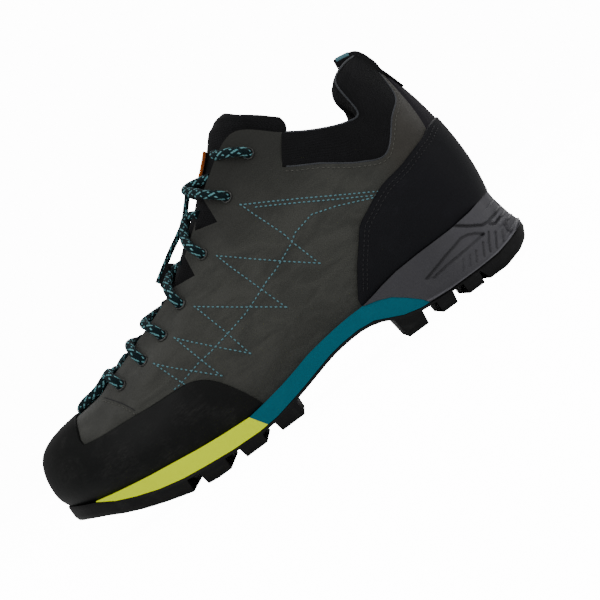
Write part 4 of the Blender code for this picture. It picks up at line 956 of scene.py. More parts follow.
def make_outsole(body):
    outsole = sole_slab("outsole_rubber", lambda x: sole_height(x, LUG_COLUMN), outsole_top,
                        outsole_relief, 9)
    carve(outsole, body, keep=True)
    below = -0.25 * HEEL_CUP_HEIGHT
    for a, b, c, d in LUG_GAPS:
        middle = at(np.linspace(b, c, 12 if b - c > 0.1 else 2))
        roof = list(zip(middle, outsole_top(middle) - WEB_THICKNESS))
        carve(outsole, side_prism("lug_gap", [(at(a), below)] + roof + [(at(d), below)]))
    for front, back, side in LONG_GROOVES:
        x0, x1, y = at(front), at(back), side * BALL_WIDTH
        outline = [(x0, below), (x0, GROOVE_DEPTH), (x1, GROOVE_DEPTH), (x1, below)]
        carve(outsole, side_prism("groove", outline, y - GROOVE_WIDTH / 2, y + GROOVE_WIDTH / 2))
    soften = outsole.modifiers.new("soft edges", "BEVEL")
    soften.width, soften.segments, soften.limit_method = 0.0004, 2, "ANGLE"
    soften.angle_limit = np.radians(40.0)
    return dress(settle(outsole), OUTSOLE, 30.0, "outsole")


BODY = foot_of_upper()
report("outsole", make_outsole(BODY))

# %% Midsole: lime wedge, blue band and grey heel piece
WEDGE_TIP = 0.934
# Seams as shares of the length and of the heel cup's height.
TIP_SEAM = ((0.617, 0.450), (0.587, 0.100))
ARCH_SEAM = (
    (0.345, 0.9), (0.334, 0.712), (0.307, 0.66), (0.283, 0.585), (0.26, 0.45), (0.24, 0.31),
    (0.228, 0.18),
)
# Steps round the back of the heel: share of the height, metres outwards.
HEEL_STEPS = (
    (0.0, 0.0), (0.1, 0.0002), (0.13, -0.0014), (0.27, -0.0017), (0.3, -0.003), (0.42, -0.0029),
    (0.45, -0.0042), (0.58, -0.004), (0.61, -0.0051), (0.75, -0.0045), (0.78, -0.0056), (1.0, -0.0052),
)
STEPS_FADE = (0.022, 0.080)
MIDSOLE_DRAFT, RECESS_DEPTH = 0.0006, 0.0009
# Lines on the heel piece: height in metres (minus for a groove), half width, painted light
# (minus for painted shade, plus for a painted highlight), then points as millimetres ahead of
# the heel's end and above the floor. The first two lines close the long recess.
HEEL_LINES = (
    (-0.0009, 0.001, -0.34, (63.8, 20.2), (56.9, 21.9), (49.1, 24.0), (39.9, 26.0), (36.3, 27.0),
     (32.0, 26.2), (28.4, 24.6), (24.6, 21.6)),
    (-0.0009, 0.0009, -0.36, (60.4, 18.4), (51.3, 19.6), (43.2, 20.1), (36.0, 20.7), (30.9, 21.1),
     (24.6, 21.6)),
    (0.0011, 0.0009, 0.75, (96.0, 17.5), (82.0, 13.0), (68.3, 9.7), (55.2, 8.4), (41.9, 8.3),
     (31.9, 8.4), (22.3, 9.4), (14.7, 11.2), (8.0, 13.4), (3.3, 15.4)),
    (-0.0008, 0.0009, -0.32, (21.4, 20.8), (24.8, 15.9), (27.0, 11.7)),
    (-0.0008, 0.0009, -0.32, (17.9, 18.7), (21.4, 13.6), (22.9, 11.2)),
    (-0.0007, 0.0009, -0.25, (13.9, 17.1), (16.1, 13.8), (17.4, 11.8)),
    (-0.0007, 0.0009, -0.28, (27.6, 18.0), (31.3, 11.6)),
    (-0.0006, 0.0009, -0.18, (33.5, 16.5), (36.4, 11.6)),
    (-0.0005, 0.0009, -0.14, (37.6, 16.6), (40.5, 11.7)),
    (-0.0004, 0.0009, -0.1, (41.9, 16.8), (45.1, 11.7)),
    (-0.0013, 0.001, -0.4, (35.3, 34.9), (29.2, 30.2), (22.3, 26.0), (17.8, 25.6), (12.8, 26.5),
     (7.4, 27.4)),
    (-0.0012, 0.0009, -0.34, (17.3, 24.3), (14.3, 22.4), (10.5, 23.3), (7.1, 23.9)),
    (-0.0012, 0.0009, -0.4, (9.7, 19.2), (10.7, 15.8), (11.2, 13.2), (7.4, 13.4), (3.4, 15.0)),
    (-0.001, 0.0009, -0.3, (5.7, 20.0), (9.1, 19.0)),
    (0.0005, 0.0011, 0.3, (15.5, 23.6), (11.5, 24.9), (7.2, 25.6)),
    (0.0005, 0.0011, 0.3, (12.6, 20.8), (8.6, 21.6), (6.0, 22.0)),
)


def plain_relief(x, share, z):
    return -0.0002 - (MIDSOLE_DRAFT - 0.0002) * share + 0.0 * x


def heel_line(points):
    return [(HEEL_TO_ORIGIN - ahead / 1000, high / 1000) for ahead, high in points]


def heel_marks(x, z):
    """Height that the moulded lines give side-view points, with painted shade in grooves and painted
    highlights on beads.
    """
    x, z = np.broadcast_arrays(x, z)
    height = np.zeros(x.shape)
    # painted light on the foam: a painted highlight at the heel's rear, painted shade towards the arch
    tone = np.interp(HEEL_TO_ORIGIN - x, (0.018, 0.055), (0.14, -0.22))
    for rise, half, change, *points in HEEL_LINES:
        mark = 1.0 - soft_step(line_distance(x, z, heel_line(points)), half * 0.35, half)
        height += rise * mark
        # painted shade along the grooves and painted highlights along the beads
        tone += change * mark
    recess = heel_line(HEEL_LINES[0][3:] + HEEL_LINES[1][-2:2:-1])
    depth = np.where(inside_outline(x, z, recess), line_distance(x, z, recess), 0.0)
    return height - RECESS_DEPTH * soft_step(depth, 0.0, 0.0012), np.clip(tone, -0.8, 0.8)


def heel_relief(x, share, z):
    """Steps round the back of the heel, fading forwards, with the moulded lines."""
    weight = 1.0 - soft_step(along_share(x), *STEPS_FADE)
    return np.interp(share, *zip(*HEEL_STEPS)) * weight + heel_marks(x, z)[0]


def store_painted_light(piece):
    """Stores each point's painted shade and highlight, which the foam's finish reads."""
    place = np.array([vertex.co for vertex in piece.data.vertices])
    painted_light = piece.data.attributes.new("moulded tone", "FLOAT", "POINT")
    painted_light.data.foreach_set("value", heel_marks(place[:, 0], place[:, 2])[1].astype(np.float32))


def make_midsole(body):
    """Three pieces cut from slabs along their seams."""
    (top_x, top_z), (foot_x, foot_z) = side_outline(TIP_SEAM, HEEL_CUP_HEIGHT)
    arch = side_outline(ARCH_SEAM, HEEL_CUP_HEIGHT)
    high, far, behind, shift = HEEL_CUP_HEIGHT * 1.3, at(WEDGE_TIP), at(-0.05), GAP * 0.2
    wedge = [(far, 0.0), (far, high), (top_x, high), (top_x, top_z), (foot_x, foot_z), (foot_x, 0.0)]
    band = [(x + shift, z) for x, z in wedge[:1:-1]] + [(arch[0][0], high)] + arch + [(arch[-1][0], 0.0)]
    heel = [(x + shift, z + shift) for x, z in arch]
    heel = [(heel[-1][0], 0.0), (behind, 0.0), (behind, high), (heel[0][0], high)] + heel
    pieces = []
    for name, outline, finish, relief, rows, stations in (
            ("midsole_forefoot", wedge, LIME, plain_relief, 8, STATIONS),
            ("midsole_arch", band, PETROL, plain_relief, 8, STATIONS),
            ("midsole_heel", heel, FOAM, heel_relief, 70, HEEL_STATIONS)):
        piece = sole_slab(name + "_foam", lambda x: outsole_top(x) + GAP,
                          lambda x: np.maximum(sole_height(x, SIDE_COLUMN), outsole_top(x) + 2 * GAP),
                          relief, rows, stations)
        carve(piece, side_prism("seams", outline), "INTERSECT")
        carve(piece, body, keep=True)
        # the heel piece stores its painted shade and highlights for the foam's finish
        if name == "midsole_heel":
            store_painted_light(piece)
        pieces.append(dress(piece, finish, 30.0, name))
    return pieces


report("midsole", *make_midsole(BODY))
bpy.data.objects.remove(BODY)

# %% Footbed
INSOLE_THICKNESS = 0.0030


def make_insole():
    """Cloth-covered footbed on the deck, its upper edge rounded."""
    u = np.arange(RIB_COUNT * 6) / 6
    rings = []
    for lift, more in ((0.0, 0.0), (INSOLE_THICKNESS * 0.7, 0.0), (INSOLE_THICKNESS, 0.0010)):
        points = last_point(u, 0.0) - last_normal(u, 0.0) * (UPPER_WALL + 3 * GAP + more)
        points[:, 2] = sole_height(points[:, 0], DECK_COLUMN) + (GAP + lift)
        rings.append(points)
    insole = ring_solid("footbed", rings)
    corners = np.array([insole.data.vertices[loop.vertex_index].co[:2] for loop in insole.data.loops])
    insole.data.uv_layers.new(name="metres").data.foreach_set("uv", corners.ravel())
    return dress(insole, FOOTBED, 30.0, "insole")


report("footbed", make_insole())

# %% [markdown]
# ## Suede upper
# The suede is one wall over the whole last: open at the collar, at the throat and below.
# The grid follows the collar's seam, so the wall ends there exactly, and a solidify
# modifier gives the wall its thickness towards the foot. Its cut edge shows at the
# throat in a lighter colour, as raw suede does.

# %% Suede upper
UPPER_COLUMNS = 12       # a rib
UPPER_ROWS, UPPER_TOP_ROWS = 52, 22
# Three corners of each notch in the throat: shares of the length and the instep's height.
EYESTAY_NOTCHES = (
    ((0.457, 0.75), (0.5, 0.775), (0.452, 0.89)),
    ((0.547, 0.64), (0.605, 0.655), (0.54, 0.76)),
)


def make_upper():
    u = np.arange(RIB_COUNT * UPPER_COLUMNS) / UPPER_COLUMNS
    seam = seam_share(u)[:, None]
    low = seam * np.linspace(0.0, 1.0, UPPER_ROWS + 1)
    high = seam + (1.0 - seam) * np.linspace(0.0, 1.0, UPPER_TOP_ROWS + 1)[1:]
    points = shell_point(u[:, None], np.concatenate([low, high], axis=1), 0.0)
    count, height = points.shape[:2]
    corner = CORNER_RIB * UPPER_COLUMNS
    faces = []
    for i in range(count):
        rows = height - 1 if i < corner or i >= count - corner else UPPER_ROWS
        a, b = i * height, (i + 1) % count * height
        faces += [(a + j, b + j, b + j + 1, a + j + 1) for j in range(rows)]
    upper = new_piece("suede_upper", points.reshape(-1, 3), faces)
    edit(upper, lambda shape: bmesh.ops.delete(
        shape, geom=[c for c in shape.verts if not c.link_faces], context="VERTS"))
    wall = upper.modifiers.new("wall", "SOLIDIFY")
    wall.thickness, wall.offset = UPPER_WALL, -1.0
    wall.material_offset, wall.material_offset_rim = 1, 2
    for finish in (SUEDE, LINING, SUEDE_EDGE):
        upper.data.materials.append(finish)
    settle(upper)
    for notch in EYESTAY_NOTCHES:
        carve(upper, side_prism("notch", side_outline(notch, INSTEP_HEIGHT)))
    return dress(upper, None, 50.0, "upper")


report("upper", make_upper())

# %% [markdown]
# ## Rubber toe rand and heel counter
# Both are layers on the suede. Each is a band whose lower edge lies on the sole and whose
# upper edge is a curve drawn in side view, with rounded rims as moulded rubber has.

# %% Rubber bands on the upper
# Edges as shares of the length and of the instep's height (rand) or the back's (counter).
RAND_EDGE = (
    (0.58, 0.115), (0.59, 0.167), (0.607, 0.233), (0.623, 0.28), (0.643, 0.316), (0.667, 0.336),
    (0.7, 0.343), (0.75, 0.349), (0.8, 0.356), (0.85, 0.363), (0.893, 0.377), (0.86, 0.6),
)
COUNTER_EDGE = (
    (0.343, 0.2), (0.323, 0.268), (0.3, 0.338), (0.273, 0.408), (0.253, 0.458), (0.227, 0.486),
    (0.2, 0.514), (0.173, 0.535), (0.133, 0.549), (0.1, 0.57), (0.067, 0.592), (0.045, 0.616),
    (-0.03, 0.65),
)
BAND_ROWS, BAND_RIM = 40, 0.0007


def rubber_band(name, outline, middle, reach, finish, stands_for):
    """Closed band over the ribs round a middle one where they meet the outline."""
    u = np.arange((middle - reach) * 12, (middle + reach) * 12 + 1) / 12
    levels = np.linspace(0.0, 0.99, 700)
    net = last_point(u[:, None], levels)
    inside = inside_outline(net[..., 0], net[..., 2], outline)
    low, high = levels[inside.argmax(axis=1)], levels[::-1][inside[:, ::-1].argmax(axis=1)]
    good = (inside.sum(axis=1) > 3) & (high - low > 0.012)
    u, low, high = u[good], low[good], high[good]
    length = np.linalg.norm(last_point(u, high) - last_point(u, low), axis=1)
    edge = np.minimum(BAND_RIM / np.maximum(length, 0.002), 0.3) * (high - low)
    top = GAP + RUBBER_LAYER
    section = [(low, GAP), (low, top - BAND_RIM * 0.6), (low + edge, top)]
    section += [(low + (high - low) * s, top) for s in np.linspace(0.02, 0.98, BAND_ROWS)]
    section += [(high - edge, top), (high, top - BAND_RIM), (high, GAP)]
    section += [(low + (high - low) * s, GAP) for s in np.linspace(0.96, 0.04, BAND_ROWS // 2)]
    rings = np.stack([shell_point(u, v, out) for v, out in section], axis=1)
    return dress(grid_piece(name, rings, wrap_columns=True, cap_ends=True), finish, 40.0, stands_for)


def sole_line(first, last):
    """Top edge of the sole's side between two shares of the length."""
    x = at(np.linspace(first, last, 60))
    return [(float(a), float(b)) for a, b in zip(x, sole_height(x, SIDE_COLUMN) + GAP)]


rand = smooth_edge(RAND_EDGE[:-1], INSTEP_HEIGHT) + side_outline(RAND_EDGE[-1:], INSTEP_HEIGHT)
foot = sole_line(RAND_EDGE[0][0], 1.0)
ahead = at(1.0) - FEATHER_INSET
rand = foot + [(ahead, foot[-1][1]), (ahead, rand[-1][1])] + rand[::-1]
counter = smooth_edge(COUNTER_EDGE, BACK_HEIGHT)
foot = sole_line(COUNTER_EDGE[0][0], 0.0)
counter = foot + [(counter[-1][0], foot[-1][1])] + counter[::-1]
report("rubber bands", rubber_band("toe_rand_rubber", rand, 0, 8.2, RAND, "toe_rand"),
       rubber_band("heel_counter_rubber", counter, HEEL_RIB, 8, COUNTER, "heel_counter"))

# %% [markdown]
# ## Padded collar
# The collar is a foam roll covered with knit. It starts at the eyestay's rear edge, runs
# round the heel and ends at the other eyestay; its lining tucks in behind the suede.
# The roll is a lofted section with a smooth curve through its points. Thin piping runs
# along its top edge and its seam.

# %% Collar
COLLAR_PADDING, COLLAR_HEEL_PADDING, COLLAR_PUFF, COLLAR_FLANGE = 0.0070, 0.0165, 0.0012, 0.0090
COLLAR_PLACES = np.linspace(CORNER_RIB + 0.004, RIB_COUNT - (CORNER_RIB + 0.004), 230)


def collar_rings(u):
    """Section points of the collar at places u: outside first, then inside and flange."""
    seam = seam_share(u)
    line = last_point(u, seam)
    rib_length = np.linalg.norm(last_point(u, 1.0) - line, axis=1) / (1.0 - seam)
    rising = last_point(u, seam + 0.01) - line
    run = np.gradient(line, axis=0)
    slant = (np.linalg.norm(run, axis=1) * np.linalg.norm(rising, axis=1)
             / np.linalg.norm(np.cross(run, rising), axis=1))
    edge = seam + GAP * 1.4 * slant / rib_length
    foot = seam - COLLAR_FLANGE / rib_length
    ends = np.minimum(u - CORNER_RIB, RIB_COUNT - CORNER_RIB - u)
    fullness = np.clip(0.45 + 0.55 * ends / 1.5, 0.0, 1.0)
    heel = np.clip((3.4 - abs(u - HEEL_RIB)) / 1.6, 0.0, 1.0)
    padding = COLLAR_PADDING + (COLLAR_HEEL_PADDING - COLLAR_PADDING) * heel
    inside = -(UPPER_WALL + GAP * 2)
    back = inside - (padding - UPPER_WALL - GAP * 2) * fullness
    top, puff = 1 - edge, COLLAR_PUFF * fullness
    section = (
        (edge, -GAP),
        (edge + 0.30 * top, puff),
        (edge + 0.75 * top, puff),
        (1.0 - 0.3 * GAP / rib_length, -0.25 * UPPER_WALL),
        (1.0, 0.5 * back),
        (edge + 0.84 * top, back),
        (edge + 0.20 * top, back - puff),
        (foot, back * 0.75 + inside * 0.25),
        (foot, inside),
        (edge, inside),
    )
    return np.stack([shell_point(u, v, out) for v, out in section], axis=1)


def make_collar(sections):
    """Smooth roll through the section points, a little uneven as stuffed cloth is."""
    u = COLLAR_PLACES[:, None]
    rings = np.stack([smooth_path(ring, 48) for ring in sections])
    turn = np.linspace(0.0, 2 * np.pi, rings.shape[1])
    uneven = np.sin(u * 5.3) * np.sin(turn * 2.0) + 0.6 * np.sin(u * 9.1 + 1.0) * np.sin(turn * 3.0 + 1.0)
    away = unit(rings - rings.mean(axis=1, keepdims=True))
    rings = rings + away * (uneven * 0.00022 * np.sin(turn / 2.0)**2)[..., None]
    collar = grid_piece("padded_collar", rings, wrap_columns=True, cap_ends=True)
    dress(collar, COLLAR, 60.0, "collar")
    return collar


SECTIONS = collar_rings(COLLAR_PLACES)
report("collar", make_collar(SECTIONS))
normal = last_normal(COLLAR_PLACES, 0.97)
for name, line, radius in (
        ("collar_top_piping", SECTIONS[:, 3] + normal * 0.0003 + [0.0, 0.0, 0.0003], 0.00055),
        ("collar_seam_piping", SECTIONS[:, 0] + normal * 0.0002, 0.00042)):
    dress(cord_piece(name, line[2:-2], radius, 10), PIPING, 60.0)

# %% Webbing loop at the heel
LOOP_WIDTH, LOOP_THICKNESS = 0.0090, 0.0014
LOOP_LEVELS = (0.745, 0.79, 0.835, 0.875, 0.91, 0.94, 0.975)
LOOP_PUFFS = (0.0, 0.0, 0.0, 0.0, 1.0, 1.2, 1.1)
LOOP_LIFTS = (0.0014, 0.0078)      # of its folded end off the collar, in metres


def strap(name, path, out, width, thickness, finish, stands_for=None):
    """Flat strap across the shoe along the inner side of a path, its edges rounded."""
    half, wall = width / 2, np.broadcast_to(thickness, (len(path),))[:, None] / 2
    corner = 0.0005
    section = ((-half, 0.0), (-half + corner, -1.0), (half - corner, -1.0), (half, 0.0),
               (half - corner, 1.0), (-half + corner, 1.0))
    rings = np.stack([path + out * wall * (h - 1.0) + [0.0, s, 0.0] for s, h in section], axis=1)
    return dress(grid_piece(name, rings, wrap_columns=True, cap_ends=True), finish, 50.0, stands_for)


def path_outwards(path):
    """Direction square to a path in the middle plane."""
    run = np.gradient(path, axis=0)
    return unit(np.stack([run[:, 2], np.zeros(len(run)), -run[:, 0]], axis=1))


def make_pull_loop():
    off = np.array(LOOP_PUFFS) * COLLAR_PUFF + 0.5 * GAP
    back = shell_point(float(HEEL_RIB), np.array(LOOP_LEVELS), off)
    section = collar_rings(HEEL_RIB + np.array([-0.5, 0.0, 0.5]))[1]
    over = section[3:5] + unit(section[3:5] - section.mean(axis=0)) * np.array(LOOP_LIFTS)[:, None]
    path = smooth_path(np.concatenate([back, over]) * [1.0, 0.0, 1.0], 90)
    out = path_outwards(path)
    share = np.linspace(0.0, 1.0, len(path))
    folded = (LOOP_THICKNESS * (0.5 + 0.5 * soft_step(share, 0.0, 0.25))
              + 0.0045 * soft_step(share, 0.25, 0.45) + 0.0035 * soft_step(share, 0.62, 0.95))
    tack = path[-12:-1] + out[-12:-1] * (LOOP_THICKNESS + 0.0003)
    return (strap("heel_loop_webbing", path + out * LOOP_THICKNESS, out, LOOP_WIDTH, folded,
                  WEBBING, "heel_pull_loop"),
            strap("loop_bartack", tack, out[-12:-1], LOOP_WIDTH * 1.06, 0.0022, TEAL_THREAD))


report("heel loop", *make_pull_loop())

# %% Backstay
BACKSTAY_REACH, BACKSTAY_TAPER, BACKSTAY_THICKNESS = 1.9, 0.85, 0.0009


def make_backstay():
    """Thin leather at the back, narrower at the top, its rims rounded."""
    u = np.linspace(HEEL_RIB - BACKSTAY_REACH, HEEL_RIB + BACKSTAY_REACH, 90)
    low = share_at_height(u, 0.40)[:, None]
    high = seam_share(np.array([HEEL_RIB - 0.3]))[0] - 0.02
    share, across = np.linspace(0.0, 1.0, 40), np.linspace(0.0, 1.0, len(u))[:, None]
    border = np.minimum(np.minimum(across, 1 - across) * 12, np.minimum(share, 1 - share) * 14)
    out = -0.0004 + (BACKSTAY_THICKNESS + 0.0004) * np.sqrt(np.clip(border, 0.0, 1.0))
    places = HEEL_RIB + (u - HEEL_RIB)[:, None] * (1.0 - BACKSTAY_TAPER * share)
    return dress(grid_piece("backstay", shell_point(places, low + (high - low) * share, out)), BACKSTAY)


report("backstay", make_backstay())

# %% [markdown]
# ## Tongue with its tab and bridge
# The tongue is a padded sheet. Its middle line climbs the instep, its wings bend back
# under the eyestays, and its padding thins towards a stitched border.

# %% Tongue
TONGUE_PADDING, TONGUE_ROUNDING = 0.0050, 0.145
# Share of the length, share of the instep's height, then half width and how far the wings
# bend back, both as shares of the ball's width.
TONGUE = (
    (0.832, 0.42, 0.13, 0.02), (0.8, 0.436, 0.165, 0.06), (0.74, 0.488, 0.205, 0.095),
    (0.68, 0.538, 0.225, 0.115), (0.62, 0.606, 0.232, 0.135), (0.56, 0.698, 0.232, 0.155),
    (0.505, 0.794, 0.23, 0.19), (0.46, 0.884, 0.222, 0.29), (0.425, 0.944, 0.212, 0.465),
    (0.398, 0.997, 0.204, 0.43), (0.37, 1.056, 0.19, 0.255), (0.337, 1.08, 0.168, 0.13),
)
TONGUE_LEVEL = (0.45, 0.85)
SWELL_MIDDLE, SWELL_LENGTH, SWELL_HEIGHT = 0.530, 0.080, 0.0072


def tongue_grid(rows, columns):
    """Points of the tongue's outside, bottom to top and outer to inner, and what is forward."""
    along, high, half, wing = np.array(TONGUE).T
    line = np.stack([at(along), 0 * along, high * INSTEP_HEIGHT], axis=1)
    shape = np.stack([half, wing, 0 * along], axis=1) * BALL_WIDTH
    knots = chord_knots(line)
    share, q = np.meshgrid(np.linspace(0.0, 1.0, rows + 1), np.linspace(-1.0, 1.0, columns + 1),
                           indexing="ij")
    # the top edge is rounded: its corners stop lower than its middle
    where = (share - TONGUE_ROUNDING * share**4 * q**4) * knots[-1]
    step = knots[-1] * 0.002
    run = hermite(line, knots, np.clip(where + step, 0, knots[-1])) - hermite(line, knots, where - step)
    forward = unit(np.stack([-run[..., 2], 0 * run[..., 0], run[..., 0]], axis=-1))
    start, end = TONGUE_LEVEL
    level = np.clip((share - start) / (end - start), 0.0, 1.0)[..., None]
    bend = unit(forward * (1.0 - level) + np.array([-0.97, 0.0, 0.24]) * level)
    sizes = hermite(shape, knots, where)
    points = hermite(line, knots, where) - bend * (sizes[..., 1] * q**2)[..., None]
    points[..., 1] += sizes[..., 0] * q
    # the padded sides swell up into the eyestay's notches
    ahead = ((along_share(points[..., 0]) - SWELL_MIDDLE) / SWELL_LENGTH)**4
    swell = np.exp(-ahead) * np.exp(-((abs(q) - 0.62) / 0.30)**2)
    return points + forward * (SWELL_HEIGHT * swell)[..., None], forward


def make_tongue():
    """Outer and inner faces with padding between, thinner at the border."""
    points = tongue_grid(90, 36)[0]
    rows, columns = points.shape[:2]
    normal = unit(np.cross(np.gradient(points, axis=1), np.gradient(points, axis=0)))
    if normal[rows // 2, columns // 2, 0] > 0:
        normal = -normal
    share, q = np.linspace(0.0, 1.0, rows)[:, None], np.linspace(-1.0, 1.0, columns)
    border = np.minimum((1 - abs(q)) / 0.22, (1 - share) / 0.06)
    dip = np.exp(-((border - 1.0) / 0.22)**2) * 0.0006
    thin = 0.0011 * (1 - soft_step(border, 0.0, 0.5))
    outer = points - normal * (thin * 0.5 + dip)[..., None]
    inner = points - normal * (TONGUE_PADDING - thin * 2.2 - dip)[..., None]
    rings = np.concatenate([outer, inner[:, ::-1]], axis=1)
    tongue = grid_piece("tongue_padding", rings, wrap_columns=True)

    def close_ends(shape):
        shape.verts.ensure_lookup_table()
        total = 2 * columns
        for base in (0, (rows - 1) * total):
            for j in range(columns - 1):
                corners = (base + j, base + j + 1, base + total - 2 - j, base + total - 1 - j)
                shape.faces.new([shape.verts[k] for k in corners])
        bmesh.ops.recalc_face_normals(shape, faces=shape.faces)

    edit(tongue, close_ends)
    dress(tongue, TONGUE_CLOTH, 50.0, "tongue")
    return tongue


report("tongue", make_tongue())

# %% Plain tab and lace bridge on the tongue
TAB_ENDS, TAB_WIDTH, TAB_THICKNESS = (0.462, 0.398), 0.0140, 0.0018
KEEPER_LENGTH, KEEPER_WIDTH, KEEPER_HEIGHT, KEEPER_THICKNESS = 0.0185, 0.0095, 0.0112, 0.0014
KEEPER_PLACE, KEEPER_BLOCK, TRIM_SEAT = 0.580, 0.0075, 0.0010


def make_trim():
    points, forward = (grid[:, 3] for grid in tongue_grid(240, 6))
    tab = (points[:, 0] > at(TAB_ENDS[0])) & (points[:, 0] < at(TAB_ENDS[1]))
    path = points[tab] + forward[tab] * (TAB_THICKNESS - 0.0001)
    label = strap("tongue_tab_tape", path, -path_outwards(path), TAB_WIDTH, TAB_THICKNESS,
                  LABEL, "tongue_label")
    inner, top = KEEPER_LENGTH / 2 - KEEPER_THICKNESS, KEEPER_HEIGHT - KEEPER_THICKNESS
    rising = [(inner, TRIM_SEAT + 3 * GAP), (inner, top * 0.55), (inner * 0.86, top * 0.9),
              (inner * 0.5, top)]
    bridge = [(-s, h) for s, h in rising] + [(0.0, top)] + rising[::-1]
    points, forward = (grid[:, 3] for grid in tongue_grid(60, 6))
    index = abs(points[:, 0] - at(KEEPER_PLACE)).argmin()
    normal = forward[index]
    uphill = np.array([normal[2], 0.0, -normal[0]])
    path = smooth_path([points[index] + uphill * s + normal * h for s, h in bridge], 60)
    return label, strap("lace_bridge_webbing", path, -path_outwards(path), KEEPER_WIDTH, KEEPER_BLOCK,
                        WEBBING, "lace_keeper")


report("tab and bridge", *make_trim())

# %% [markdown]
# ## Stitches and seams
# Zigzag rows of coloured thread cross the quarters, with plain rows beside the collar and
# on the heel counter. Each row is a line of corners on the surface; one Geometry Nodes
# tree lays short stitches along all of them and makes them real.

# %% Stitch tree
def stitch_tree():
    """Stitches of one length along every edge line of a mesh, a little uneven."""
    tree = bpy.data.node_groups.new("stitch_row", "GeometryNodeTree")
    for name, kind in (("Geometry", "Geometry"), ("Pitch", "Float"), ("Stitch Length", "Float"),
                       ("Thread Width", "Float"), ("Seed", "Int"), ("Thread", "Material")):
        tree.interface.new_socket(name, in_out="INPUT", socket_type="NodeSocket" + kind)
    tree.interface.new_socket("Geometry", in_out="OUTPUT", socket_type="NodeSocketGeometry")
    given = node(tree, "NodeGroupInput").outputs
    line = node(tree, "GeometryNodeMeshToCurve", {"Mesh": given["Geometry"]}).outputs[0]
    points = node(tree, "GeometryNodeCurveToPoints", {"Curve": line, "Length": given["Pitch"]},
                  mode="LENGTH").outputs
    turned = node(tree, "FunctionNodeAlignRotationToVector", {"Vector": points["Tangent"]},
                  axis="Z").outputs[0]
    ball = node(tree, "GeometryNodeMeshUVSphere",
                {"Segments": 6, "Rings": 5, "Radius": 0.5}).outputs["Mesh"]
    uneven = node(tree, "FunctionNodeRandomValue", {"Min": 0.88, "Max": 1.12, "Seed": given["Seed"]},
                  data_type="FLOAT").outputs["Value"]
    width, long = given["Thread Width"], times(given["Stitch Length"], uneven)
    size = node(tree, "ShaderNodeCombineXYZ", {0: width, 1: width, 2: long}).outputs[0]
    laid = node(tree, "GeometryNodeInstanceOnPoints", {"Points": points["Points"], "Instance": ball,
                                                       "Rotation": turned, "Scale": size}).outputs[0]
    real = node(tree, "GeometryNodeRealizeInstances", {"Geometry": laid}).outputs[0]
    sewn = node(tree, "GeometryNodeSetMaterial", {"Geometry": real, "Material": given["Thread"]})
    node(tree, "NodeGroupOutput", {"Geometry": sewn.outputs[0]})
    return tree


STITCHES = stitch_tree()


def stitch_rows(name, lines, finish, pitch, length, width):
    """Stitches along lines of points on the surface, as one plain mesh."""
    ends = np.cumsum([len(line) for line in lines]) - 1
    edges = [(k, k + 1) for k in range(ends[-1]) if k not in ends]
    rows = new_piece(name, np.concatenate(lines), [], edges)
    sewing = rows.modifiers.new("sewing", "NODES")
    sewing.node_group = STITCHES
    values = {"Pitch": pitch, "Stitch Length": length, "Thread Width": width, "Seed": 7, "Thread": finish}
    for socket in STITCHES.interface.items_tree:
        if socket.in_out == "INPUT" and socket.name in values:
            sewing[socket.identifier] = values[socket.name]
    return dress(settle(rows), None, 60.0)


def drawn_lines(lines, side, out):
    """Side-view lines of shares laid on one side of the upper."""
    spread = []
    for line in lines:
        corners = np.array(side_outline(line, INSTEP_HEIGHT))
        steps = chord_knots(corners, 1.0)
        places = np.linspace(0.0, steps[-1], max(3, int(steps[-1] / 0.0015)))
        spread.append(read_along(places, steps, corners))
    points = shell_point(*find_places(np.concatenate(spread), side), out)
    return np.split(points, np.cumsum([len(line) for line in spread])[:-1])


print("stitch tree of", len(STITCHES.nodes), "nodes")

# %% Rows of stitches
# Corners of the zigzag and of the curved row, as shares of length and instep height.
ZIGZAG = (
    ((0.183, 0.484), (0.249, 0.564), (0.311, 0.64), (0.404, 0.748)),
    ((0.19, 0.477), (0.253, 0.552), (0.316, 0.629), (0.384, 0.708)),
    ((0.404, 0.748), (0.396, 0.697), (0.373, 0.571), (0.369, 0.53), (0.352, 0.409)),
    ((0.352, 0.409), (0.404, 0.494), (0.493, 0.648)),
    ((0.493, 0.648), (0.486, 0.594), (0.463, 0.454), (0.447, 0.352)),
    ((0.447, 0.352), (0.579, 0.546)),
    ((0.579, 0.546), (0.561, 0.419), (0.547, 0.293)),
    ((0.547, 0.293), (0.641, 0.496)),
    ((0.641, 0.496), (0.611, 0.289)),
    ((0.611, 0.289), (0.697, 0.463)),
    ((0.697, 0.463), (0.673, 0.343)),
    ((0.198, 0.479), (0.267, 0.54), (0.312, 0.568), (0.329, 0.56), (0.355, 0.549), (0.373, 0.525),
     (0.4, 0.501), (0.421, 0.483), (0.446, 0.469), (0.481, 0.441), (0.513, 0.418), (0.548, 0.402),
     (0.603, 0.38), (0.632, 0.373), (0.678, 0.35), (0.691, 0.348)),
)
VAMP_SEAM = (
    (0.812, 0.474), (0.805, 0.459), (0.789, 0.426), (0.774, 0.372), (0.77, 0.35),
)
# Pitch, length and width of the stitches.
ZIGZAG_STITCH, FINE_STITCH = (0.0026, 0.0017, 0.0009), (0.0028, 0.0019, 0.0006)
COUNTER_STITCH = (0.0026, 0.0018, 0.0006)
BELOW_SEAM, BEHIND_VAMP_SEAM, COUNTER_ROWS = 0.0022, 0.0016, (0.0030, 0.0052)


def beside(rows, height, distance):
    """Drawn line moved sideways in side view; positive is towards the heel's end."""
    points = np.array(side_outline(rows, height))
    run = np.gradient(points, axis=0)
    x, z = (points + unit(np.stack([run[:, 1], -run[:, 0]], axis=1)) * distance).T
    return list(zip(along_share(x), z / INSTEP_HEIGHT))


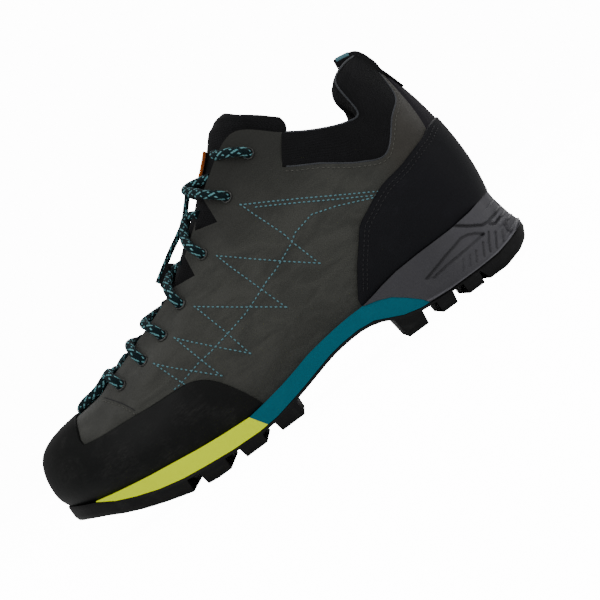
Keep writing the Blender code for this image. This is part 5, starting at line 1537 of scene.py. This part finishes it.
def make_stitches(side, word):
    """All rows of one side, and the cord that stands for the vamp's seam."""
    u = np.arange(CORNER_RIB + 0.12, HEEL_RIB - 0.2, 0.05)
    v = seam_share(u)
    v = v - BELOW_SEAM * (1.0 - v) / np.linalg.norm(last_point(u, 1.0) - last_point(u, v), axis=1)
    vamp = [beside(VAMP_SEAM, INSTEP_HEIGHT, BEHIND_VAMP_SEAM)]
    counter = [beside(COUNTER_EDGE[1:-1], BACK_HEIGHT, distance) for distance in COUNTER_ROWS]
    made = [stitch_rows(f"zigzag_{word}", drawn_lines(ZIGZAG, side, 0.0002), TEAL_THREAD, *ZIGZAG_STITCH)]
    seam = drawn_lines([VAMP_SEAM], side, 0.0001)[0]
    made.append(cord_piece(f"vamp_seam_{word}", smooth_path(seam[::4], 40), 0.00030, 8))
    made[-1].data.materials.append(DARK_THREAD_AND_HOLE_SHADE)
    for name, lines, finish, sizes in (
            ("vamp_rows", drawn_lines(vamp, side, 0.0002), GREY_THREAD, FINE_STITCH),
            ("collar_rows", [shell_point(mirrored(u, side), v, 0.0002)], GREY_THREAD, FINE_STITCH),
            ("counter_rows", drawn_lines(counter, side, GAP + RUBBER_LAYER + 0.00015), RUBBER_THREAD,
             COUNTER_STITCH)):
        made.append(stitch_rows(f"{name}_{word}", lines, finish, *sizes))
    return made


for side, word in SIDES:
    report(f"stitches, {word} side", *make_stitches(side, word))

# %% [markdown]
# ## Eyelets and lace
# Each eyelet is a pressed ring, its hole a dark disc of painted shade. The lace runs through
# all fourteen. It comes up out of a hole, goes over the eyestay's edge, crosses the tongue
# and dives below the other edge to the next hole. The hidden ends stop inside at the top eyelets.

# %% Eyelets
LACE_DIAMETER, LACE_CLEARANCE = 0.0048, 0.0006
EYELET_RIM, EYELET_HOLE, EYELET_THICKNESS, EYELET_TURNS = 0.0070, 0.0054, 0.0011, 40
# Place u of the eyelet, distance below the edge in metres, then where the strand that
# leaves it goes over the edge and where the strand that comes to it goes under: places u.
EYELETS = (
    (3.68, 0.014, 3.25, 3.6), (4.72, 0.0165, 4.62, 4.3), (5.58, 0.0161, 5.32, 4.95),
    (6.43, 0.0137, 6.42, 6.05), (7.62, 0.0131, 7.5, 7.1), (9.08, 0.0177, 8.58, 8.2),
    (10.12, 0.0153, 9.42, 9.05),
)


def on_last(u, v, side):
    """One point on the last, and the normal there."""
    where, level = np.array([mirrored(u, side)]), np.array([v])
    return last_point(where, level)[0], last_normal(where, level)[0]


def eyelet_place(number, side):
    """Centre of an eyelet on the suede, the normal there, and the edge straight above."""
    u, below = EYELETS[number][:2]
    return *on_last(u, share_below_edge(u, below), side), on_last(u, 1.0, side)[0]


def make_eyelet(number, side, word):
    """Ring with a rounded rim, and a dark disc of painted shade in its hole."""
    hole, rim, high = EYELET_HOLE / 2 - 0.0001, EYELET_RIM / 2, EYELET_THICKNESS * 0.8
    middle, half = (hole + rim) / 2, (rim - hole) / 2
    profile = [(rim, 0.0)] + [(middle + half * np.cos(a), high * 0.35 + high * 0.65 * np.sin(a))
                              for a in np.linspace(0.0, np.pi, 9)] + [(hole, 0.0)]
    angle = np.linspace(0.0, 2 * np.pi, EYELET_TURNS, endpoint=False)[:, None]
    centre, normal, edge = eyelet_place(number, side)
    across = unit(edge - centre - normal * np.dot(edge - centre, normal))
    spokes = across * np.cos(angle) + np.cross(normal, across) * np.sin(angle)
    rings = np.stack([centre + spokes * r + normal * (GAP * 1.6 + h) for r, h in profile], axis=1)
    ring = grid_piece(f"eyelet_ring_{word}_{number + 1}", rings, wrap_rows=True, wrap_columns=True)
    dress(ring, METAL)
    # the dark disc is painted shade: it covers the suede inside the ring, where a hole shows only its
    # dark inside
    corners = centre + np.concatenate([[[0.0, 0.0, 0.0]], spokes * hole]) + normal * 0.0004
    floor = new_piece("hole", corners,
                      [(0, 1 + k, 1 + (k + 1) % EYELET_TURNS) for k in range(EYELET_TURNS)])
    floor.data.materials.append(DARK_THREAD_AND_HOLE_SHADE)
    ring = join(ring.name, [ring, floor])
    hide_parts(f"eyelet_{word}_{number + 1}")
    return ring


EYELET_PIECES = [make_eyelet(number, *side) for side in SIDES for number in range(len(EYELETS))]
print(len(EYELET_PIECES), "eyelets")

# %% Lace
RUN_DIAMETER, CORD_RADIUS = 0.0032, 0.0026
# Shares of the length and of the instep's height.
LACE_MIDDLES = (
    (0.868, 0.491), (0.747, 0.548), (0.697, 0.564), (0.632, 0.617), (0.579, 0.706), (0.501, 0.838),
    (0.47, 0.928),
)
LACE_RUN = (
    (0.615, 0.706), (0.59, 0.738), (0.56, 0.775), (0.533, 0.805), (0.509, 0.835), (0.487, 0.88),
    (0.473, 0.91),
)


def through_hole(number, side):
    """A strand's way up out of an eyelet and over the eyestay's edge."""
    radius = LACE_DIAMETER / 2
    centre, normal, _ = eyelet_place(number, side)
    edge, slope = on_last(EYELETS[number][2], 1.0, side)
    lift = radius + EYELET_THICKNESS + LACE_CLEARANCE + 2 * GAP
    reach = radius + 0.7 * LACE_CLEARANCE if number < len(EYELETS) - 1 else 0.3 * radius
    return [centre + normal * 0.0002,
            centre + normal * lift + (edge - centre) * 0.12,
            centre + (normal + slope) * lift * 0.55 + (edge - centre) * 0.58,
            edge + unit(slope + [0.0, 0.0, 1.0]) * reach]


def under_edge(u, side, inwards, lower):
    """Point inside the eyestay's edge: share of its offset kept, and how much lower."""
    return on_last(u, 1.0, side)[0] * [1.0, inwards, 1.0] - [0.0, 0.0, lower]


def on_vamp(u, v, side):
    """Middle of a lace that lies on the vamp."""
    point, normal = on_last(u, v, side)
    return point + normal * (LACE_DIAMETER / 2 + LACE_CLEARANCE)


def lace_strands():
    """Paths of each piece of the lace, by the solid that it stands for."""
    last = len(EYELETS) - 1
    middles = [np.array([x, 0.0, z]) for x, z in side_outline(LACE_MIDDLES, INSTEP_HEIGHT)]
    outer, inner = (through_hole(0, side) + [on_vamp(2.3, 0.95, side), on_vamp(1.2, 0.88, side)]
                    for side, _ in SIDES)
    strands = {"lace_bar": [outer + [middles[0]] + inner[::-1]]}
    for k in range(last):
        inwards = 0.72 if k else 0.85
        strands[f"lace_crossing_{k + 1}"] = [
            (through_hole(k, side) if k else [under_edge(EYELETS[0][3], side, inwards, 0.001)])
            + [middles[k + 1], under_edge(EYELETS[k + 1][3], -side, inwards, 0.001)]
            for side, _ in SIDES]
    for side, word in SIDES:
        hidden = under_edge(EYELETS[last][2], side, 0.84, -0.002)
        strands[f"lace_end_{word}"] = [through_hole(last, side) + [hidden]]
    strands["lace_run"] = [[(x, 0.0, z) for x, z in side_outline(LACE_RUN, INSTEP_HEIGHT)]]
    return strands


def make_strand(name, paths):
    radius = RUN_DIAMETER / 2 if name == "lace_run" else CORD_RADIUS
    cords = []
    for path in paths:
        length = chord_knots(smooth_path(path, 8 * len(path)), 1.0)[-1]
        cords.append(cord_piece(name, smooth_path(path, int(length / 0.0012)), radius, 20))
    return dress(join(name + "_braid", cords), CORD, 60.0, name)


report("lace", *[make_strand(name, paths) for name, paths in lace_strands().items()])

# %% [markdown]
# ## Last step
# Every piece rides on the shoe's one body.

# %% Ride and finish
for piece in [o for o in bpy.data.objects if o.type == "MESH" and o.name != "floor"]:
    if "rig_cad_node" not in piece:
        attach(piece, "root")
